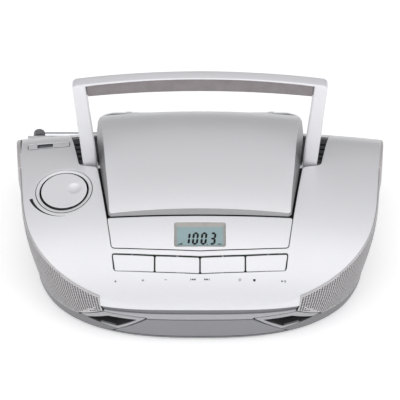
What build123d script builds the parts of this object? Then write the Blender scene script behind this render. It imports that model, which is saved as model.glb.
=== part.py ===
from build123d import *
import math
import os

os.makedirs("parts", exist_ok=True)

# Portable disc player with radio: width along X, front towards -Y, height along Z.
# The origin lies under the middle of the cabinet, on the floor, in millimetres.

# Cabinet envelope
cabinet_depth = 210.0
front_y = -cabinet_depth / 2
rear_y = cabinet_depth / 2
foot_height = 3.0
floor_top_z = 5.5
nose_z = 41.0
crest_z = 104.3
crown_radius = 1190.0
bottom_half_width = 141.0
nose_half_width = 147.5
shoulder_half_width = 153.5
rim_half_width = 151.5
wall = 2.2
seam = 0.3
fit = 0.3

# Front bands and grilles
lip_half_width = 84.6
trim_low_z = 29.0
trim_high_z = 36.0
belly_top_half = 45.8
belly_low_half = 70.0
grille_low_z = 18.0
cap_front_y = 17.0
cap_rear_y = 88.0
cap_proud = 1.4

# Disc bay and lid
disc_y = 21.0
well_radius = 62.5
well_floor_z = 86.5
spindle_hole_radius = 17.0
hinge_y = 88.0
hinge_z = 92.0
lid_bottom_z = 98.0
lid_wall = 2.0
lid_front_y = -45.0
lid_front_half = 77.6
lid_rear_half = 89.4
lid_crown_radius = 714.0
lid_crest_z = 117.0

# Lid hinge
lug_x = 62.0
lug_width = 5.0
hinge_pin_radius = 1.5
pin_clearance = 0.05

# Panel and keys
panel_low_y = -72.0
panel_low_half = 75.3
key_top_y = -75.4
key_low_y = -87.0
key_row_half = 75.0
key_bow = 3.6
key_gap = 0.5
key_depth = 3.0
window_half = 21.6
window_top_y = -52.3
window_low_y = -72.3

# Volume knob
knob_x = -116.2
knob_y = -14.0
knob_radius = 20.0
collar_radius = 24.2

# Frame of the memory-stick socket
stick_x = -130.5
stick_y = 45.7
stick_width = 36.0
stick_height = 8.0
stick_corner = 2.5

# Handle
pivot_y = 20.5
pivot_z = 92.0
arm_depth = 10.0
arm_inner_x = 87.6
arm_outer_x = 99.6
arm_splay = 0.092
grip_end_z = 187.0
grip_rise = 10.0
grip_height = 16.5
pin_radius = 3.0

# Speakers
speaker_radius = 33.0
speaker_x = 112.0
speaker_y = -52.0
speaker_z = 44.0
speaker_angle = 40.0

# Battery bay
cell_radius = 13.1
bay_half = 80.0
bay_low_z = 8.0
bay_high_z = 37.0
bay_front_y = 45.0

# Hinge of the battery door
door_axis_y = 99.6
door_axis_z = bay_low_z + 1.6
door_pin_radius = 0.8
door_relief = 3.2

# Telescopic antenna
antenna_x = -141.0
antenna_y = 101.2
antenna_z = 58.0
tube_radius = 3.0
tube_length = 120.0

# Top line of the cabinet in its middle plane, from the nose over the crest to the rear
top_line = [
    (front_y - 3, 20), (front_y, nose_z), (-91, 68), (-78, 81), (-44.5, 96.6), (-15, 102.5),
    (11, crest_z), (37, 103.6), (55, 99.8), (73, 88.5), (90, 70), (101, 50), (rear_y + 1, 25),
]
lid_line = [
    (-60, 94), (-44, 102.2), (-25, 108.5), (0, 114), (25, lid_crest_z), (45, 117), (60, 114.2),
    (73, 109), (86, 99), (98, 84),
]


def lowered(points, drop):
    """The same line moved square to itself, down and inwards."""
    line = Spline(*points)
    count = len(points)
    moved = []
    for step in range(count):
        share = step / (count - 1)
        point = line @ share
        slope = line % share
        moved.append((point.X + slope.Y * drop, point.Y - slope.X * drop))
    return moved


def turned(points, crown, crest, drop, smooth=True):
    """A slab under a line of points, turned about a far axis so that it crowns from side to side."""
    low = -60
    lead = 1.0
    sweep_arc = 11.0
    axis = Axis((0, 0, crest - crown), (0, 1, 0))
    if drop:
        points = lowered(points, drop)
    with BuildPart() as slab:
        with BuildSketch(Plane.YZ):
            with BuildLine():
                if smooth:
                    Spline(*points)
                else:
                    Polyline(*points)
                Polyline(points[-1], (150, points[-1][1]), (150, low), (-150, low),
                         (-150, points[0][1]), points[0])
            make_face()
        revolve(axis=axis, revolution_arc=sweep_arc)
    return slab.part.rotate(axis, -lead)


def under_top(drop=0):
    return turned(top_line, crown_radius, crest_z, drop)


def under_lid_top(drop=0):
    return turned(lid_line, lid_crown_radius, lid_crest_z, drop)


def half_outline(half_width, front, rear, bend, drop):
    """Right half of a plan outline: a superellipse whose rear half widens and squares off."""
    half_width -= drop
    front -= drop
    rear -= drop
    rear_bend = 7
    spread = 0.00045

    def station(degrees):
        angle = math.radians(degrees)
        power = bend if degrees < 0 else rear_bend
        reach = front if degrees < 0 else rear
        y = math.copysign(reach * abs(math.sin(angle)) ** (2 / power), angle)
        x = half_width * math.cos(angle) ** (2 / power) * (1 + spread * y)
        return x, y

    with BuildSketch() as outline:
        with BuildLine():
            Spline((0, -front), *[station(a) for a in (-78, -65, -52, -40, -28, -14)],
                   (half_width, 0), tangents=[(1, 0), (half_width * spread, 1)])
            Spline((half_width, 0), *[station(a) for a in (14, 30, 45, 60, 76)],
                   (0, rear), tangents=[(half_width * spread, 1), (-1, 0)])
            Line((0, rear), (0, -front))
        make_face()
    return outline.sketch


def hull(drop=0, low_z=foot_height):
    """Right half of the cabinet's side walls as a solid, without the top."""
    sections = (
        (low_z, bottom_half_width, 98.3, rear_y - 5, 2.6),
        (nose_z, nose_half_width, -front_y, rear_y, 3.2),
        (75, shoulder_half_width, -front_y + 1, rear_y, 3.4),
        (112, rim_half_width - 1.5, -front_y - 1, rear_y - 3, 3.48),
    )
    with BuildPart() as half:
        for level, half_width, front, rear, bend in sections:
            with BuildSketch(Plane.XY.offset(level)):
                add(half_outline(half_width, front, rear, bend, drop))
        loft()
    return half.part


def prism(points, low, high, grow=0):
    """A vertical prism over a polygon in plan."""
    with BuildPart() as block:
        with BuildSketch(Plane.XY.offset(low)):
            with BuildLine():
                Polyline(*points, close=True)
            make_face()
            if grow:
                offset(amount=grow, kind=Kind.INTERSECTION)
        extrude(amount=high - low)
    return block.part


def flat_shape(points, grow=0):
    """A polygon in plan, grown or shrunk square to its sides."""
    with BuildSketch() as shape:
        with BuildLine():
            Polyline(*points, close=True)
        make_face()
        if grow:
            offset(amount=grow, kind=Kind.INTERSECTION)
    return shape.sketch


def front_prism(points, near, far, grow=0):
    """A prism along Y over a polygon of (x, z) points, from one distance behind the middle to another."""
    with BuildPart() as block:
        with BuildSketch(Plane.XZ.offset(-far)):
            with BuildLine():
                Polyline(*points, close=True)
            make_face()
            if grow:
                offset(amount=grow, kind=Kind.INTERSECTION)
        extrude(amount=far - near)
    return block.part


def block(x_low, x_high, y_low, y_high, z_low, z_high):
    """A box between two corners."""
    return prism([(x_low, y_low), (x_high, y_low), (x_high, y_high), (x_low, y_high)], z_low, z_high)


def disc(x, y, low, high, radius, bore=0):
    """An upright cylinder, with a hole where a bore is given."""
    with BuildPart() as round_piece:
        with BuildSketch(Plane.XY.offset(low)):
            with Locations((x, y)):
                Circle(radius)
                if bore:
                    Circle(bore, mode=Mode.SUBTRACT)
        extrude(amount=high - low)
    return round_piece.part


def rod(y, z, low, high, radius, bore=0):
    """A cylinder along X, with a hole where a bore is given."""
    with BuildPart() as round_piece:
        with BuildSketch(Plane.YZ.offset(low)):
            with Locations((y, z)):
                Circle(radius)
                if bore:
                    Circle(bore, mode=Mode.SUBTRACT)
        extrude(amount=high - low)
    return round_piece.part


def surface_plane(x, y):
    """A plane on the cabinet's top surface above (x, y), with its normal pointing out."""
    line = Spline(*top_line)
    low, high = 0.0, 1.0
    for _ in range(40):
        middle = (low + high) / 2
        if (line @ middle).X < y:
            low = middle
        else:
            high = middle
    point = line @ low
    slope = line % low
    reach = point.Y - crest_z + crown_radius
    lean = math.asin(x / reach)
    length = math.hypot(slope.X, slope.Y)
    normal_y = -slope.Y / length
    normal_z = slope.X / length
    return Plane(
        origin=(x, y, crest_z - crown_radius + reach * math.cos(lean)),
        x_dir=(math.cos(lean), 0, -math.sin(lean)),
        z_dir=(math.sin(lean) * normal_z, normal_y, math.cos(lean) * normal_z),
    )


def write(piece, name):
    piece.label = name
    export_step(piece, f"parts/{name}.step")


def save_pair(right, name):
    """Write a right-hand piece and its mirror image."""
    write(right, f"right_{name}")
    write(mirror(right, about=Plane.YZ, mode=Mode.PRIVATE), f"left_{name}")


under_side = under_top()
under_skin = under_top(wall)
outer_hull = hull()
inner_hull = hull(wall)

right_side = prism([(0, -200), (250, -200), (250, 200), (0, 200)], 0, 200)

# Walls of the cabinet as one half shell, which the outer pieces are cut from
with BuildPart() as wall_half:
    add(outer_hull)
    add(under_side, mode=Mode.INTERSECT)
    add(inner_hull, mode=Mode.SUBTRACT)

# Regions of the front, seen from the front, right half
port_opening = [(98, 17.5), (78.3, 28), (53.5, 27), (70.7, 14)]
duct_wall = 1.6
port_corners = [(102, 20), (82, 33), (45.8, 30), (70, 10)]
grille_corners = [
    (102.4, grille_low_z), (250, grille_low_z), (250, 150), (lip_half_width + seam, 150),
    (lip_half_width + seam, nose_z), (82.4, 33.6), (102.4, 20.4),
]
trim_corners = [
    (-1, trim_low_z), (44.6, trim_low_z), (45.8, 30.4), (81.9, 33.4), (lip_half_width - 2.2, trim_high_z),
    (-1, trim_high_z),
]
belly_corners = [
    (-1, floor_top_z), (belly_low_half + 5, floor_top_z), (belly_low_half - 0.5, 10),
    (belly_top_half - 0.5, trim_low_z - 0.5), (-1, trim_low_z - 0.5),
]
cap_corners = [
    (100, cap_front_y + seam), (250, cap_front_y + seam), (250, cap_rear_y), (100, cap_rear_y),
]
front_near = -200
cap_low_z = 14

# Perforated grilles that wrap from the lip round to the side caps
with BuildPart() as right_grille:
    add(wall_half.part)
    add(front_prism(grille_corners, front_near, cap_front_y), mode=Mode.INTERSECT)
save_pair(right_grille.part, "grille")

# Side caps, slightly proud of the walls
with BuildPart() as right_side_cap:
    add(hull(-cap_proud))
    add(under_side, mode=Mode.INTERSECT)
    add(inner_hull, mode=Mode.SUBTRACT)
    add(prism(cap_corners, cap_low_z, 200), mode=Mode.INTERSECT)
save_pair(right_side_cap.part, "side_cap")

# Light trim band and the panel below it
with BuildPart() as front_trim:
    add(wall_half.part)
    add(front_prism(trim_corners, front_near, 0), mode=Mode.INTERSECT)
    mirror(about=Plane.YZ)
write(front_trim.part, "front_trim")
with BuildPart() as belly_panel:
    add(wall_half.part)
    add(front_prism(belly_corners, front_near, 0), mode=Mode.INTERSECT)
    mirror(about=Plane.YZ)
write(belly_panel.part, "belly_panel")

# Lower cabinet: floor, rim, recessed step and rear wall in one piece, with the battery box
step_depth = 1.2
backing = 1.8
backing_half = 43.0
bay_wall = 2.0
bay_box = [
    (-1, bay_front_y - bay_wall), (bay_half + bay_wall, bay_front_y - bay_wall),
    (bay_half + bay_wall, rear_y - 1.2), (-1, rear_y - 1.2),
]
bay_space = [(-2, bay_front_y), (bay_half, bay_front_y), (bay_half, rear_y + 5), (-2, rear_y + 5)]
step_corners = [
    (-1, trim_high_z + seam), (lip_half_width - 2.2, trim_high_z + seam), (lip_half_width - seam, nose_z),
    (-1, nose_z),
]
lip_corners = [
    (-1, trim_high_z), (lip_half_width - 1, trim_high_z - 2), (lip_half_width + seam / 2, nose_z),
    (lip_half_width + seam / 2, 150), (-1, 150),
]
port_bite = [(69.2, 9.6), (102.9, 19.6), (82.6, 34), (45, 31), (44.6, 28.2)]
backing_corners = [(-1, 4), (backing_half, 4), (backing_half, trim_high_z + 2), (-1, trim_high_z + 2)]
with BuildPart() as step_band:
    add(hull(step_depth))
    add(hull(wall + backing), mode=Mode.SUBTRACT)
    add(front_prism(step_corners, front_near, -60), mode=Mode.INTERSECT)
with BuildPart() as front_backing:
    add(hull(wall + seam))
    add(hull(wall + backing + 0.2), mode=Mode.SUBTRACT)
    add(front_prism(backing_corners, front_near, -60), mode=Mode.INTERSECT)
with BuildPart() as floor_half:
    add(hull(wall / 2))
    add(prism([(-1, -200), (250, -200), (250, 200), (-1, 200)], 0, floor_top_z), mode=Mode.INTERSECT)
with BuildPart() as bay_half_box:
    add(prism(bay_box, foot_height + 1, bay_high_z + bay_wall))
    add(prism([(-3, 0), (200, 0), (200, 200), (-3, 200)], 0, floor_top_z - 1), mode=Mode.SUBTRACT)
    add(hull(wall / 2), mode=Mode.INTERSECT)
with BuildPart() as lower_half:
    add(wall_half.part)
    add(front_prism(grille_corners, front_near, cap_front_y, seam), mode=Mode.SUBTRACT)
    add(prism(cap_corners, cap_low_z - seam, 250, seam), mode=Mode.SUBTRACT)
    add(front_prism(trim_corners, front_near, 0, seam), mode=Mode.SUBTRACT)
    add(front_prism(belly_corners, front_near, 0, seam), mode=Mode.SUBTRACT)
    add(front_prism(port_corners, front_near, 0, seam), mode=Mode.SUBTRACT)
    add(front_prism(port_bite, front_near, 0), mode=Mode.SUBTRACT)
    add(front_prism(lip_corners, front_near, 0), mode=Mode.SUBTRACT)
    add(front_backing.part)
    add(step_band.part)
    add(floor_half.part)
    add(bay_half_box.part)
    add(prism(bay_space, bay_low_z, bay_high_z), mode=Mode.SUBTRACT)

# Sloping baffle behind each grille, standing on the floor
baffle_depth = 3.0
baffle_plane = Plane(
    origin=(speaker_x, speaker_y, speaker_z),
    x_dir=(math.cos(math.radians(speaker_angle)), math.sin(math.radians(speaker_angle)), 0),
    z_dir=(math.sin(math.radians(speaker_angle)), -math.cos(math.radians(speaker_angle)), 0),
)
with BuildPart() as baffle:
    with BuildSketch(baffle_plane):
        Rectangle(100, 120)
        Circle(speaker_radius, mode=Mode.SUBTRACT)
    extrude(amount=-baffle_depth)
    add(hull(wall + 2 * seam), mode=Mode.INTERSECT)
    add(under_top(wall + 1), mode=Mode.INTERSECT)
    add(prism([(60, -200), (200, -200), (200, 0), (60, 0)], floor_top_z - 0.5, 200), mode=Mode.INTERSECT)
    add(front_prism(port_opening, front_near, 0, duct_wall + seam), mode=Mode.SUBTRACT)
    add(block(50, 86, -120, 0, 57, 120), mode=Mode.SUBTRACT)

# Posts for the cabinet screws and the main board
screw_spots = [(132, 20), (-132, 20), (135, 66), (-135, 66)]
screw_radius = 1.5
screw_head_radius = 3.0
screw_clearance = 0.1
counterbore_z = 7.0
post_radius = 4.5
post_top_z = 22.0
board_spots = [(62, -30), (62, 32), (-62, -30), (-62, 32)]
board_low_z = 26.0
mains_x = -110.0
mains_z = 25.0
mains_width = 24.0
mains_height = 14.0
socket_x = 112.0
socket_radius = 1.8
with BuildPart() as lower_cabinet:
    add(lower_half.part)
    add(baffle.part)
    mirror(about=Plane.YZ)
    with BuildSketch(Plane.XY.offset(floor_top_z - 0.5)):
        with Locations(*screw_spots):
            Circle(post_radius)
    extrude(amount=post_top_z - floor_top_z + 0.5)
    with BuildSketch(Plane.XY.offset(floor_top_z - 0.5)):
        with Locations(*board_spots):
            Circle(post_radius)
    extrude(amount=board_low_z - floor_top_z + 0.5)
    with BuildSketch(Plane.XY):
        with Locations(*screw_spots):
            Circle(screw_radius + screw_clearance)
    extrude(amount=post_top_z + 1, mode=Mode.SUBTRACT)
    with BuildSketch(Plane.XY):
        with Locations(*screw_spots):
            Circle(screw_head_radius + screw_clearance)
    extrude(amount=counterbore_z, mode=Mode.SUBTRACT)
    with BuildSketch(Plane.XZ.offset(-rear_y - 5)):
        with Locations((mains_x, mains_z)):
            Rectangle(mains_width, mains_height)
        with Locations((socket_x, mains_z)):
            Circle(socket_radius + 2.5)
    extrude(amount=25, mode=Mode.SUBTRACT)
    with BuildSketch(Plane.YZ.offset(-bay_half - bay_wall - 1)):
        with Locations((door_axis_y, door_axis_z)):
            Circle(door_pin_radius + pin_clearance)
    extrude(amount=2 * (bay_half + bay_wall + 1), mode=Mode.SUBTRACT)
    add(rod(door_axis_y, door_axis_z, -bay_half, bay_half, door_relief), mode=Mode.SUBTRACT)
write(lower_cabinet.part, "lower_cabinet")

# Plan of the opening for lid, channels and panel, right half
opening_side = 0.1537
channel_front_y = 11.3
channel_root_x = panel_low_half + opening_side * (channel_front_y - panel_low_y)
channel_outer_x = 103.8
channel_rear_y = 76.0
channel_flare = 0.172
channel_rear_x = channel_outer_x + channel_flare * (channel_rear_y - channel_front_y - 4)
opening_points = [
    (-1, panel_low_y - key_bow), (0, panel_low_y - key_bow), (42, panel_low_y - 1.9),
    (panel_low_half, panel_low_y), (channel_root_x, channel_front_y),
    (channel_outer_x, channel_front_y + 4), (channel_rear_x, channel_rear_y), (-1, channel_rear_y),
]
key_row_points = [
    (-1, key_top_y - key_bow), (0, key_top_y - key_bow), (38, key_top_y - 2.2), (key_row_half, key_top_y),
    (key_row_half - 1.7, key_low_y), (38, key_low_y - 1.6), (0, key_low_y - 2.8), (-1, key_low_y - 2.8),
]
key_mid_y = -83.0
key_plane = surface_plane(0, key_mid_y)
board_depth = 12.0
knob_plane = surface_plane(knob_x, knob_y)
stick_plane = surface_plane(stick_x, stick_y)

# Top cover: crowned shell with a full lip at the front and openings for lid, keys, knob and stick socket
with BuildPart() as rim_cutter:
    add(prism([(lip_half_width, -200), (250, -200), (250, 200), (-1, 200), (-1, 0),
               (lip_half_width, 0)], 0, 200))
    add(hull(wall + seam), mode=Mode.SUBTRACT)
with BuildPart() as cover_void:
    add(under_skin)
    add(hull(wall), mode=Mode.INTERSECT)
with BuildPart() as cover_half:
    add(outer_hull)
    add(prism([(-2, -200), (250, -200), (250, 200), (-2, 200)], nose_z + seam, 200), mode=Mode.INTERSECT)
    add(under_side, mode=Mode.INTERSECT)
    add(rim_cutter.part, mode=Mode.SUBTRACT)
    add(cover_void.part, mode=Mode.SUBTRACT)
    add(prism(opening_points, 0, 200), mode=Mode.SUBTRACT)
    add(prism(key_row_points, 0, 200), mode=Mode.SUBTRACT)
    add(disc(0, disc_y, well_floor_z - 2.5, 130, well_radius + 2.5), mode=Mode.SUBTRACT)
with BuildPart() as cover_posts:
    with BuildSketch(Plane.XY.offset(post_top_z)):
        with Locations(*[spot for spot in screw_spots if spot[0] > 0]):
            Circle(post_radius - 0.5)
    extrude(amount=120)
    add(under_top(wall / 2), mode=Mode.INTERSECT)
board_post_x = 79.3
with BuildPart() as board_posts:
    with BuildSketch(surface_plane(board_post_x, key_mid_y + 2).offset(-1)):
        Circle(2)
    extrude(amount=-20)
    with BuildSketch(key_plane.offset(-board_depth)):
        Rectangle(300, 80)
    extrude(amount=-40, mode=Mode.SUBTRACT)
with BuildPart() as top_cover:
    add(cover_half.part)
    add(cover_posts.part)
    add(board_posts.part)
    mirror(about=Plane.YZ)
    with BuildSketch(Plane.XY):
        with Locations(*screw_spots):
            Circle(screw_radius)
    extrude(amount=post_top_z + 14, mode=Mode.SUBTRACT)
    with BuildSketch(knob_plane):
        Circle(collar_radius + seam)
    extrude(amount=20, both=True, mode=Mode.SUBTRACT)
    with BuildSketch(stick_plane.offset(12)):
        Rectangle(stick_width + 2 * seam, stick_height + 2 * seam)
    extrude(amount=-30, mode=Mode.SUBTRACT)
write(top_cover.part, "top_cover")

# Disc housing: a tub under the cover with the disc well, the channel floors and the hinge lugs
housing_wall = 2.0
channel_floor_z = pivot_z - 7
floor_depth = 2.0
deck_z = lid_bottom_z - 1
deck_plate = 1.6
deck_front_y = -43.5
deck_points = [
    (-20, deck_front_y), (74, deck_front_y), (79.5, -5), (86, 27), (86.5, 72), (-20, 72),
]
slot_half = 8.0
slot_reach = 62.0
housing_under_z = well_floor_z - floor_depth
housing_top = turned(top_line, crown_radius, crest_z, wall + 0.5, smooth=False)
with BuildPart() as housing_half:
    add(prism(opening_points, housing_under_z - 1.5, 120, housing_wall))
    add(prism([(-2, deck_front_y - 2), (250, deck_front_y - 2), (250, channel_rear_y),
               (-2, channel_rear_y)], 0, 200), mode=Mode.INTERSECT)
    add(housing_top, mode=Mode.INTERSECT)
    add(prism(opening_points, channel_floor_z, 200), mode=Mode.SUBTRACT)
    add(prism(deck_points, housing_under_z - 1.5, deck_z))
    add(prism(deck_points, 0, deck_z - deck_plate, -floor_depth), mode=Mode.SUBTRACT)
with BuildPart() as hinge_lug:
    with BuildSketch(Plane.YZ.offset(lug_x - lug_width / 2)):
        with BuildLine():
            Polyline((66, channel_floor_z - 1), (76, channel_floor_z + 2.5), (84, hinge_z - 4.5),
                     (hinge_y + 3, hinge_z - 3.4), (hinge_y + 4, hinge_z), (hinge_y + 2, hinge_z + 3.6),
                     (hinge_y - 4, hinge_z + 3.6), (66, channel_floor_z + 6), close=True)
        make_face()
    extrude(amount=lug_width)
with BuildPart() as cd_housing:
    add(housing_half.part)
    add(hinge_lug.part)
    add(right_side, mode=Mode.INTERSECT)
    mirror(about=Plane.YZ)
    with BuildSketch(Plane.XY.offset(housing_under_z)):
        with Locations((0, disc_y)):
            Circle(well_radius + floor_depth)
    extrude(amount=deck_z - housing_under_z - 1)
    with BuildSketch(Plane.XY.offset(well_floor_z)):
        with Locations((0, disc_y)):
            Circle(well_radius)
    extrude(amount=20, mode=Mode.SUBTRACT)
    with BuildSketch(Plane.XY.offset(housing_under_z - 5)):
        with Locations((0, disc_y)):
            Circle(spindle_hole_radius)
        with Locations((slot_reach / 2, disc_y)):
            Rectangle(slot_reach, 2 * slot_half)
    extrude(amount=10, mode=Mode.SUBTRACT)
    with BuildSketch(Plane.YZ.offset(-120)):
        with Locations((hinge_y, hinge_z)):
            Circle(hinge_pin_radius)
    extrude(amount=240, mode=Mode.SUBTRACT)
    with BuildSketch(Plane.YZ.offset(-130)):
        with Locations((pivot_y, pivot_z)):
            Circle(pin_radius)
    extrude(amount=260, mode=Mode.SUBTRACT)
    with BuildSketch(Plane.XY.offset(channel_floor_z - 10)):
        for side in (-1, 1):
            with Locations((side * 101, 40), (side * 102, 46), (side * 103, 52), (side * 104, 58)):
                Rectangle(10, 2)
    extrude(amount=11, mode=Mode.SUBTRACT)
write(cd_housing.part, "cd_housing")

# Disc lid: tapered shell with a crowned top, two hinge arms and a catch hook
lid_points = [
    (-20, lid_front_y), (lid_front_half, lid_front_y), (84, -1), (86, 17.5), (88.4, 44), (lid_rear_half, 60),
    (88.6, 75), (84, 83), (76, 86), (-20, 86),
]
lid_taper = 9.0
lid_height = 26.0
with BuildPart() as lid_half:
    with BuildSketch(Plane.XY.offset(lid_bottom_z)):
        add(flat_shape(lid_points))
    extrude(amount=lid_height, taper=lid_taper)
    add(right_side, mode=Mode.INTERSECT)
    add(under_lid_top(), mode=Mode.INTERSECT)
with BuildPart() as lid_void:
    with BuildSketch(Plane.XY.offset(lid_bottom_z - 1)):
        add(flat_shape(lid_points, -lid_wall))
    extrude(amount=lid_height, taper=lid_taper)
    add(under_lid_top(lid_wall), mode=Mode.INTERSECT)
arm_x = lug_x - lug_width / 2 - fit - lug_width / 2
with BuildPart() as lid_arm:
    with BuildSketch(Plane.YZ.offset(arm_x - lug_width / 2)):
        with BuildLine():
            Polyline((76, lid_bottom_z + 0.5), (hinge_y - 4, lid_bottom_z - 2), (hinge_y - 3.2, hinge_z - 2.4),
                     (hinge_y, hinge_z - 4), (hinge_y + 3.2, hinge_z - 2.4), (hinge_y + 4, hinge_z),
                     (hinge_y + 2, hinge_z + 4), (hinge_y - 3, lid_bottom_z + 5), (76, lid_bottom_z + 7),
                     close=True)
        make_face()
        with Locations((hinge_y, hinge_z)):
            Circle(hinge_pin_radius + pin_clearance, mode=Mode.SUBTRACT)
    extrude(amount=lug_width)
with BuildPart() as cd_lid:
    add(lid_half.part)
    add(lid_void.part, mode=Mode.SUBTRACT)
    add(lid_arm.part)
    mirror(about=Plane.YZ)
write(cd_lid.part, "cd_lid")

# Inner plate of the lid, with the ring that carries the clamp
liner_z = lid_bottom_z + 1
liner_depth = 2.0
liner_rear_y = 75.5
clamp_neck = 9.0
with BuildPart() as liner_half:
    add(prism(lid_points, liner_z, liner_z + liner_depth, -lid_wall - 0.9))
    add(block(0, 200, -200, liner_rear_y, 0, 200), mode=Mode.INTERSECT)
    add(under_lid_top(lid_wall + 0.2), mode=Mode.INTERSECT)
    add(right_side, mode=Mode.INTERSECT)
with BuildPart() as lid_liner:
    add(liner_half.part)
    mirror(about=Plane.YZ)
    with BuildSketch(Plane.XY.offset(liner_z - 5)):
        with Locations((0, disc_y)):
            Circle(clamp_neck + pin_clearance)
    extrude(amount=10, mode=Mode.SUBTRACT)
write(lid_liner.part, "lid_liner")

# Clamp that presses the disc on the turntable, free to spin in the liner, and its cover
clamp_radius = 15.0
clamp_low_z = 92.4
hub_radius = 7.4
with BuildPart() as disc_clamp:
    add(disc(0, disc_y, clamp_low_z, liner_z - 1.4, clamp_radius))
    add(disc(0, disc_y, clamp_low_z - 1, clamp_low_z + 2.6, hub_radius + 1), mode=Mode.SUBTRACT)
    add(disc(0, disc_y, liner_z - 1.4, liner_z + liner_depth + 0.6, clamp_neck))
    add(disc(0, disc_y, liner_z + liner_depth + 0.4, liner_z + liner_depth + 2.4, clamp_neck + 3))
write(disc_clamp.part, "disc_clamp")
with BuildPart() as clamp_cover:
    add(disc(0, disc_y, liner_z + liner_depth, liner_z + liner_depth + 5.5, clamp_neck + 6))
    add(disc(0, disc_y, liner_z, liner_z + liner_depth + 4, clamp_neck + 4), mode=Mode.SUBTRACT)
write(clamp_cover.part, "clamp_cover")

# Hinge pins of the lid and the catch in front
with BuildPart() as lid_hinge_pins:
    for side in (-1, 1):
        near = arm_x - lug_width / 2 if side > 0 else -lug_x - lug_width / 2
        far = lug_x + lug_width / 2 if side > 0 else -arm_x + lug_width / 2
        add(rod(hinge_y, hinge_z, near, far, hinge_pin_radius))
write(lid_hinge_pins.part, "lid_hinge_pins")
with BuildPart() as lid_catch:
    add(block(-6, 6, lid_front_y + 5, lid_front_y + 9, deck_z, liner_z - seam))
write(lid_catch.part, "lid_catch")

# Suspended deck: chassis plate on four rubber dampers under the housing
chassis_low_z = 76.0
chassis_z = 78.0
rod_span = 16.0
rod_radius = 1.5
rod_z = 81.0
rod_low_x = 12.0
rod_high_x = 70.0
rod_block = 2.5
damper_spots = [(-50, 0), (-50, 42), (28, -28), (34, 62)]
gear_radius = 8.0
pinion_radius = 3.0
gear_gap = 0.3
gear_x = 50.3
rack_y = -5.0
gear_y = rack_y - gear_gap - gear_radius
pinion_x = gear_x - gear_radius - gear_gap - pinion_radius
gear_low_z = 79.2
gear_high_z = 81.2
with BuildPart() as deck_chassis:
    add(block(-58, 72, -36, 78, chassis_low_z, chassis_z))
    add(disc(0, disc_y, 60, 100, 4), mode=Mode.SUBTRACT)
    add(disc(pinion_x, gear_y, 60, 100, 2), mode=Mode.SUBTRACT)
    for side in (-1, 1):
        for start in (rod_low_x, rod_high_x - rod_block):
            add(block(start, start + rod_block, disc_y + side * rod_span - 3, disc_y + side * rod_span + 3,
                      chassis_z, rod_z + 2.5))
            add(rod(disc_y + side * rod_span, rod_z, start - 1, start + rod_block + 1, rod_radius),
                mode=Mode.SUBTRACT)
    add(disc(gear_x, gear_y, chassis_z, gear_low_z - 0.2, 3))
    add(disc(gear_x, gear_y, chassis_z, gear_high_z + 0.6, rod_radius))
write(deck_chassis.part, "deck_chassis")
with BuildPart() as deck_dampers:
    for x, y in damper_spots:
        add(disc(x, y, chassis_z, housing_under_z, 5, 1.5))
write(deck_dampers.part, "deck_dampers")
with BuildPart() as guide_rods:
    for side in (-1, 1):
        add(rod(disc_y + side * rod_span, rod_z, rod_low_x, rod_high_x, rod_radius))
write(guide_rods.part, "guide_rods")

# Turntable on the spindle motor
platter_low_z = well_floor_z + 2
platter_z = well_floor_z + 4.5
shaft_radius = 1.0
with BuildPart() as turntable:
    add(disc(0, disc_y, platter_low_z, platter_z, clamp_radius + 0.5))
    add(disc(0, disc_y, platter_z, platter_z + 1.5, hub_radius))
    add(disc(0, disc_y, platter_z + 1.5, platter_z + 2.4, hub_radius - 1.2))
    add(disc(0, disc_y, chassis_z + 2, platter_low_z, 3))
    add(disc(0, disc_y, 70, chassis_z + 2, shaft_radius))
write(turntable.part, "turntable")
with BuildPart() as spindle_motor:
    add(disc(0, disc_y, chassis_low_z - 14, chassis_low_z, 12))
    add(disc(0, disc_y, 69, chassis_low_z + 1, shaft_radius + pin_clearance), mode=Mode.SUBTRACT)
write(spindle_motor.part, "spindle_motor")

# Pickup sled with its lens and rack
sled_low_x = 17.5
sled_high_x = 33.0
lens_x = 25.0
with BuildPart() as pickup:
    add(block(sled_low_x, sled_high_x, disc_y - 22, disc_y + 22, chassis_z + 1, rod_z + 2.6))
    add(block(sled_low_x, sled_low_x + 33, rack_y, disc_y - 22, gear_low_z, gear_high_z))
    for side in (-1, 1):
        add(rod(disc_y + side * rod_span, rod_z, 0, 90, rod_radius + pin_clearance), mode=Mode.SUBTRACT)
    add(disc(lens_x, disc_y, rod_z + 2.6, well_floor_z + 1, 4))
write(pickup.part, "pickup")


def gear(x, y, radius, count, low, high, bore):
    """A spur gear with straight-sided teeth."""
    with BuildPart() as wheel:
        with BuildSketch(Plane.XY.offset(low)):
            with Locations((x, y)):
                Circle(radius - 0.9)
                with PolarLocations(radius - 0.7, count):
                    Rectangle(1.4, 0.8 * math.pi * radius / count)
                if bore:
                    Circle(bore, mode=Mode.SUBTRACT)
        extrude(amount=high - low)
    return wheel.part


with BuildPart() as sled_gear:
    add(gear(gear_x, gear_y, gear_radius, 24, gear_low_z, gear_high_z, rod_radius + pin_clearance))
write(sled_gear.part, "sled_gear")
with BuildPart() as motor_pinion:
    add(gear(pinion_x, gear_y, pinion_radius, 9, gear_low_z, gear_high_z + 1, 0))
    add(disc(pinion_x, gear_y, 70, gear_low_z, shaft_radius))
write(motor_pinion.part, "motor_pinion")
with BuildPart() as sled_motor:
    add(disc(pinion_x, gear_y, chassis_low_z - 12, chassis_low_z, 6))
    add(disc(pinion_x, gear_y, 69, chassis_low_z + 1, shaft_radius + pin_clearance), mode=Mode.SUBTRACT)
write(sled_motor.part, "sled_motor")

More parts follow.
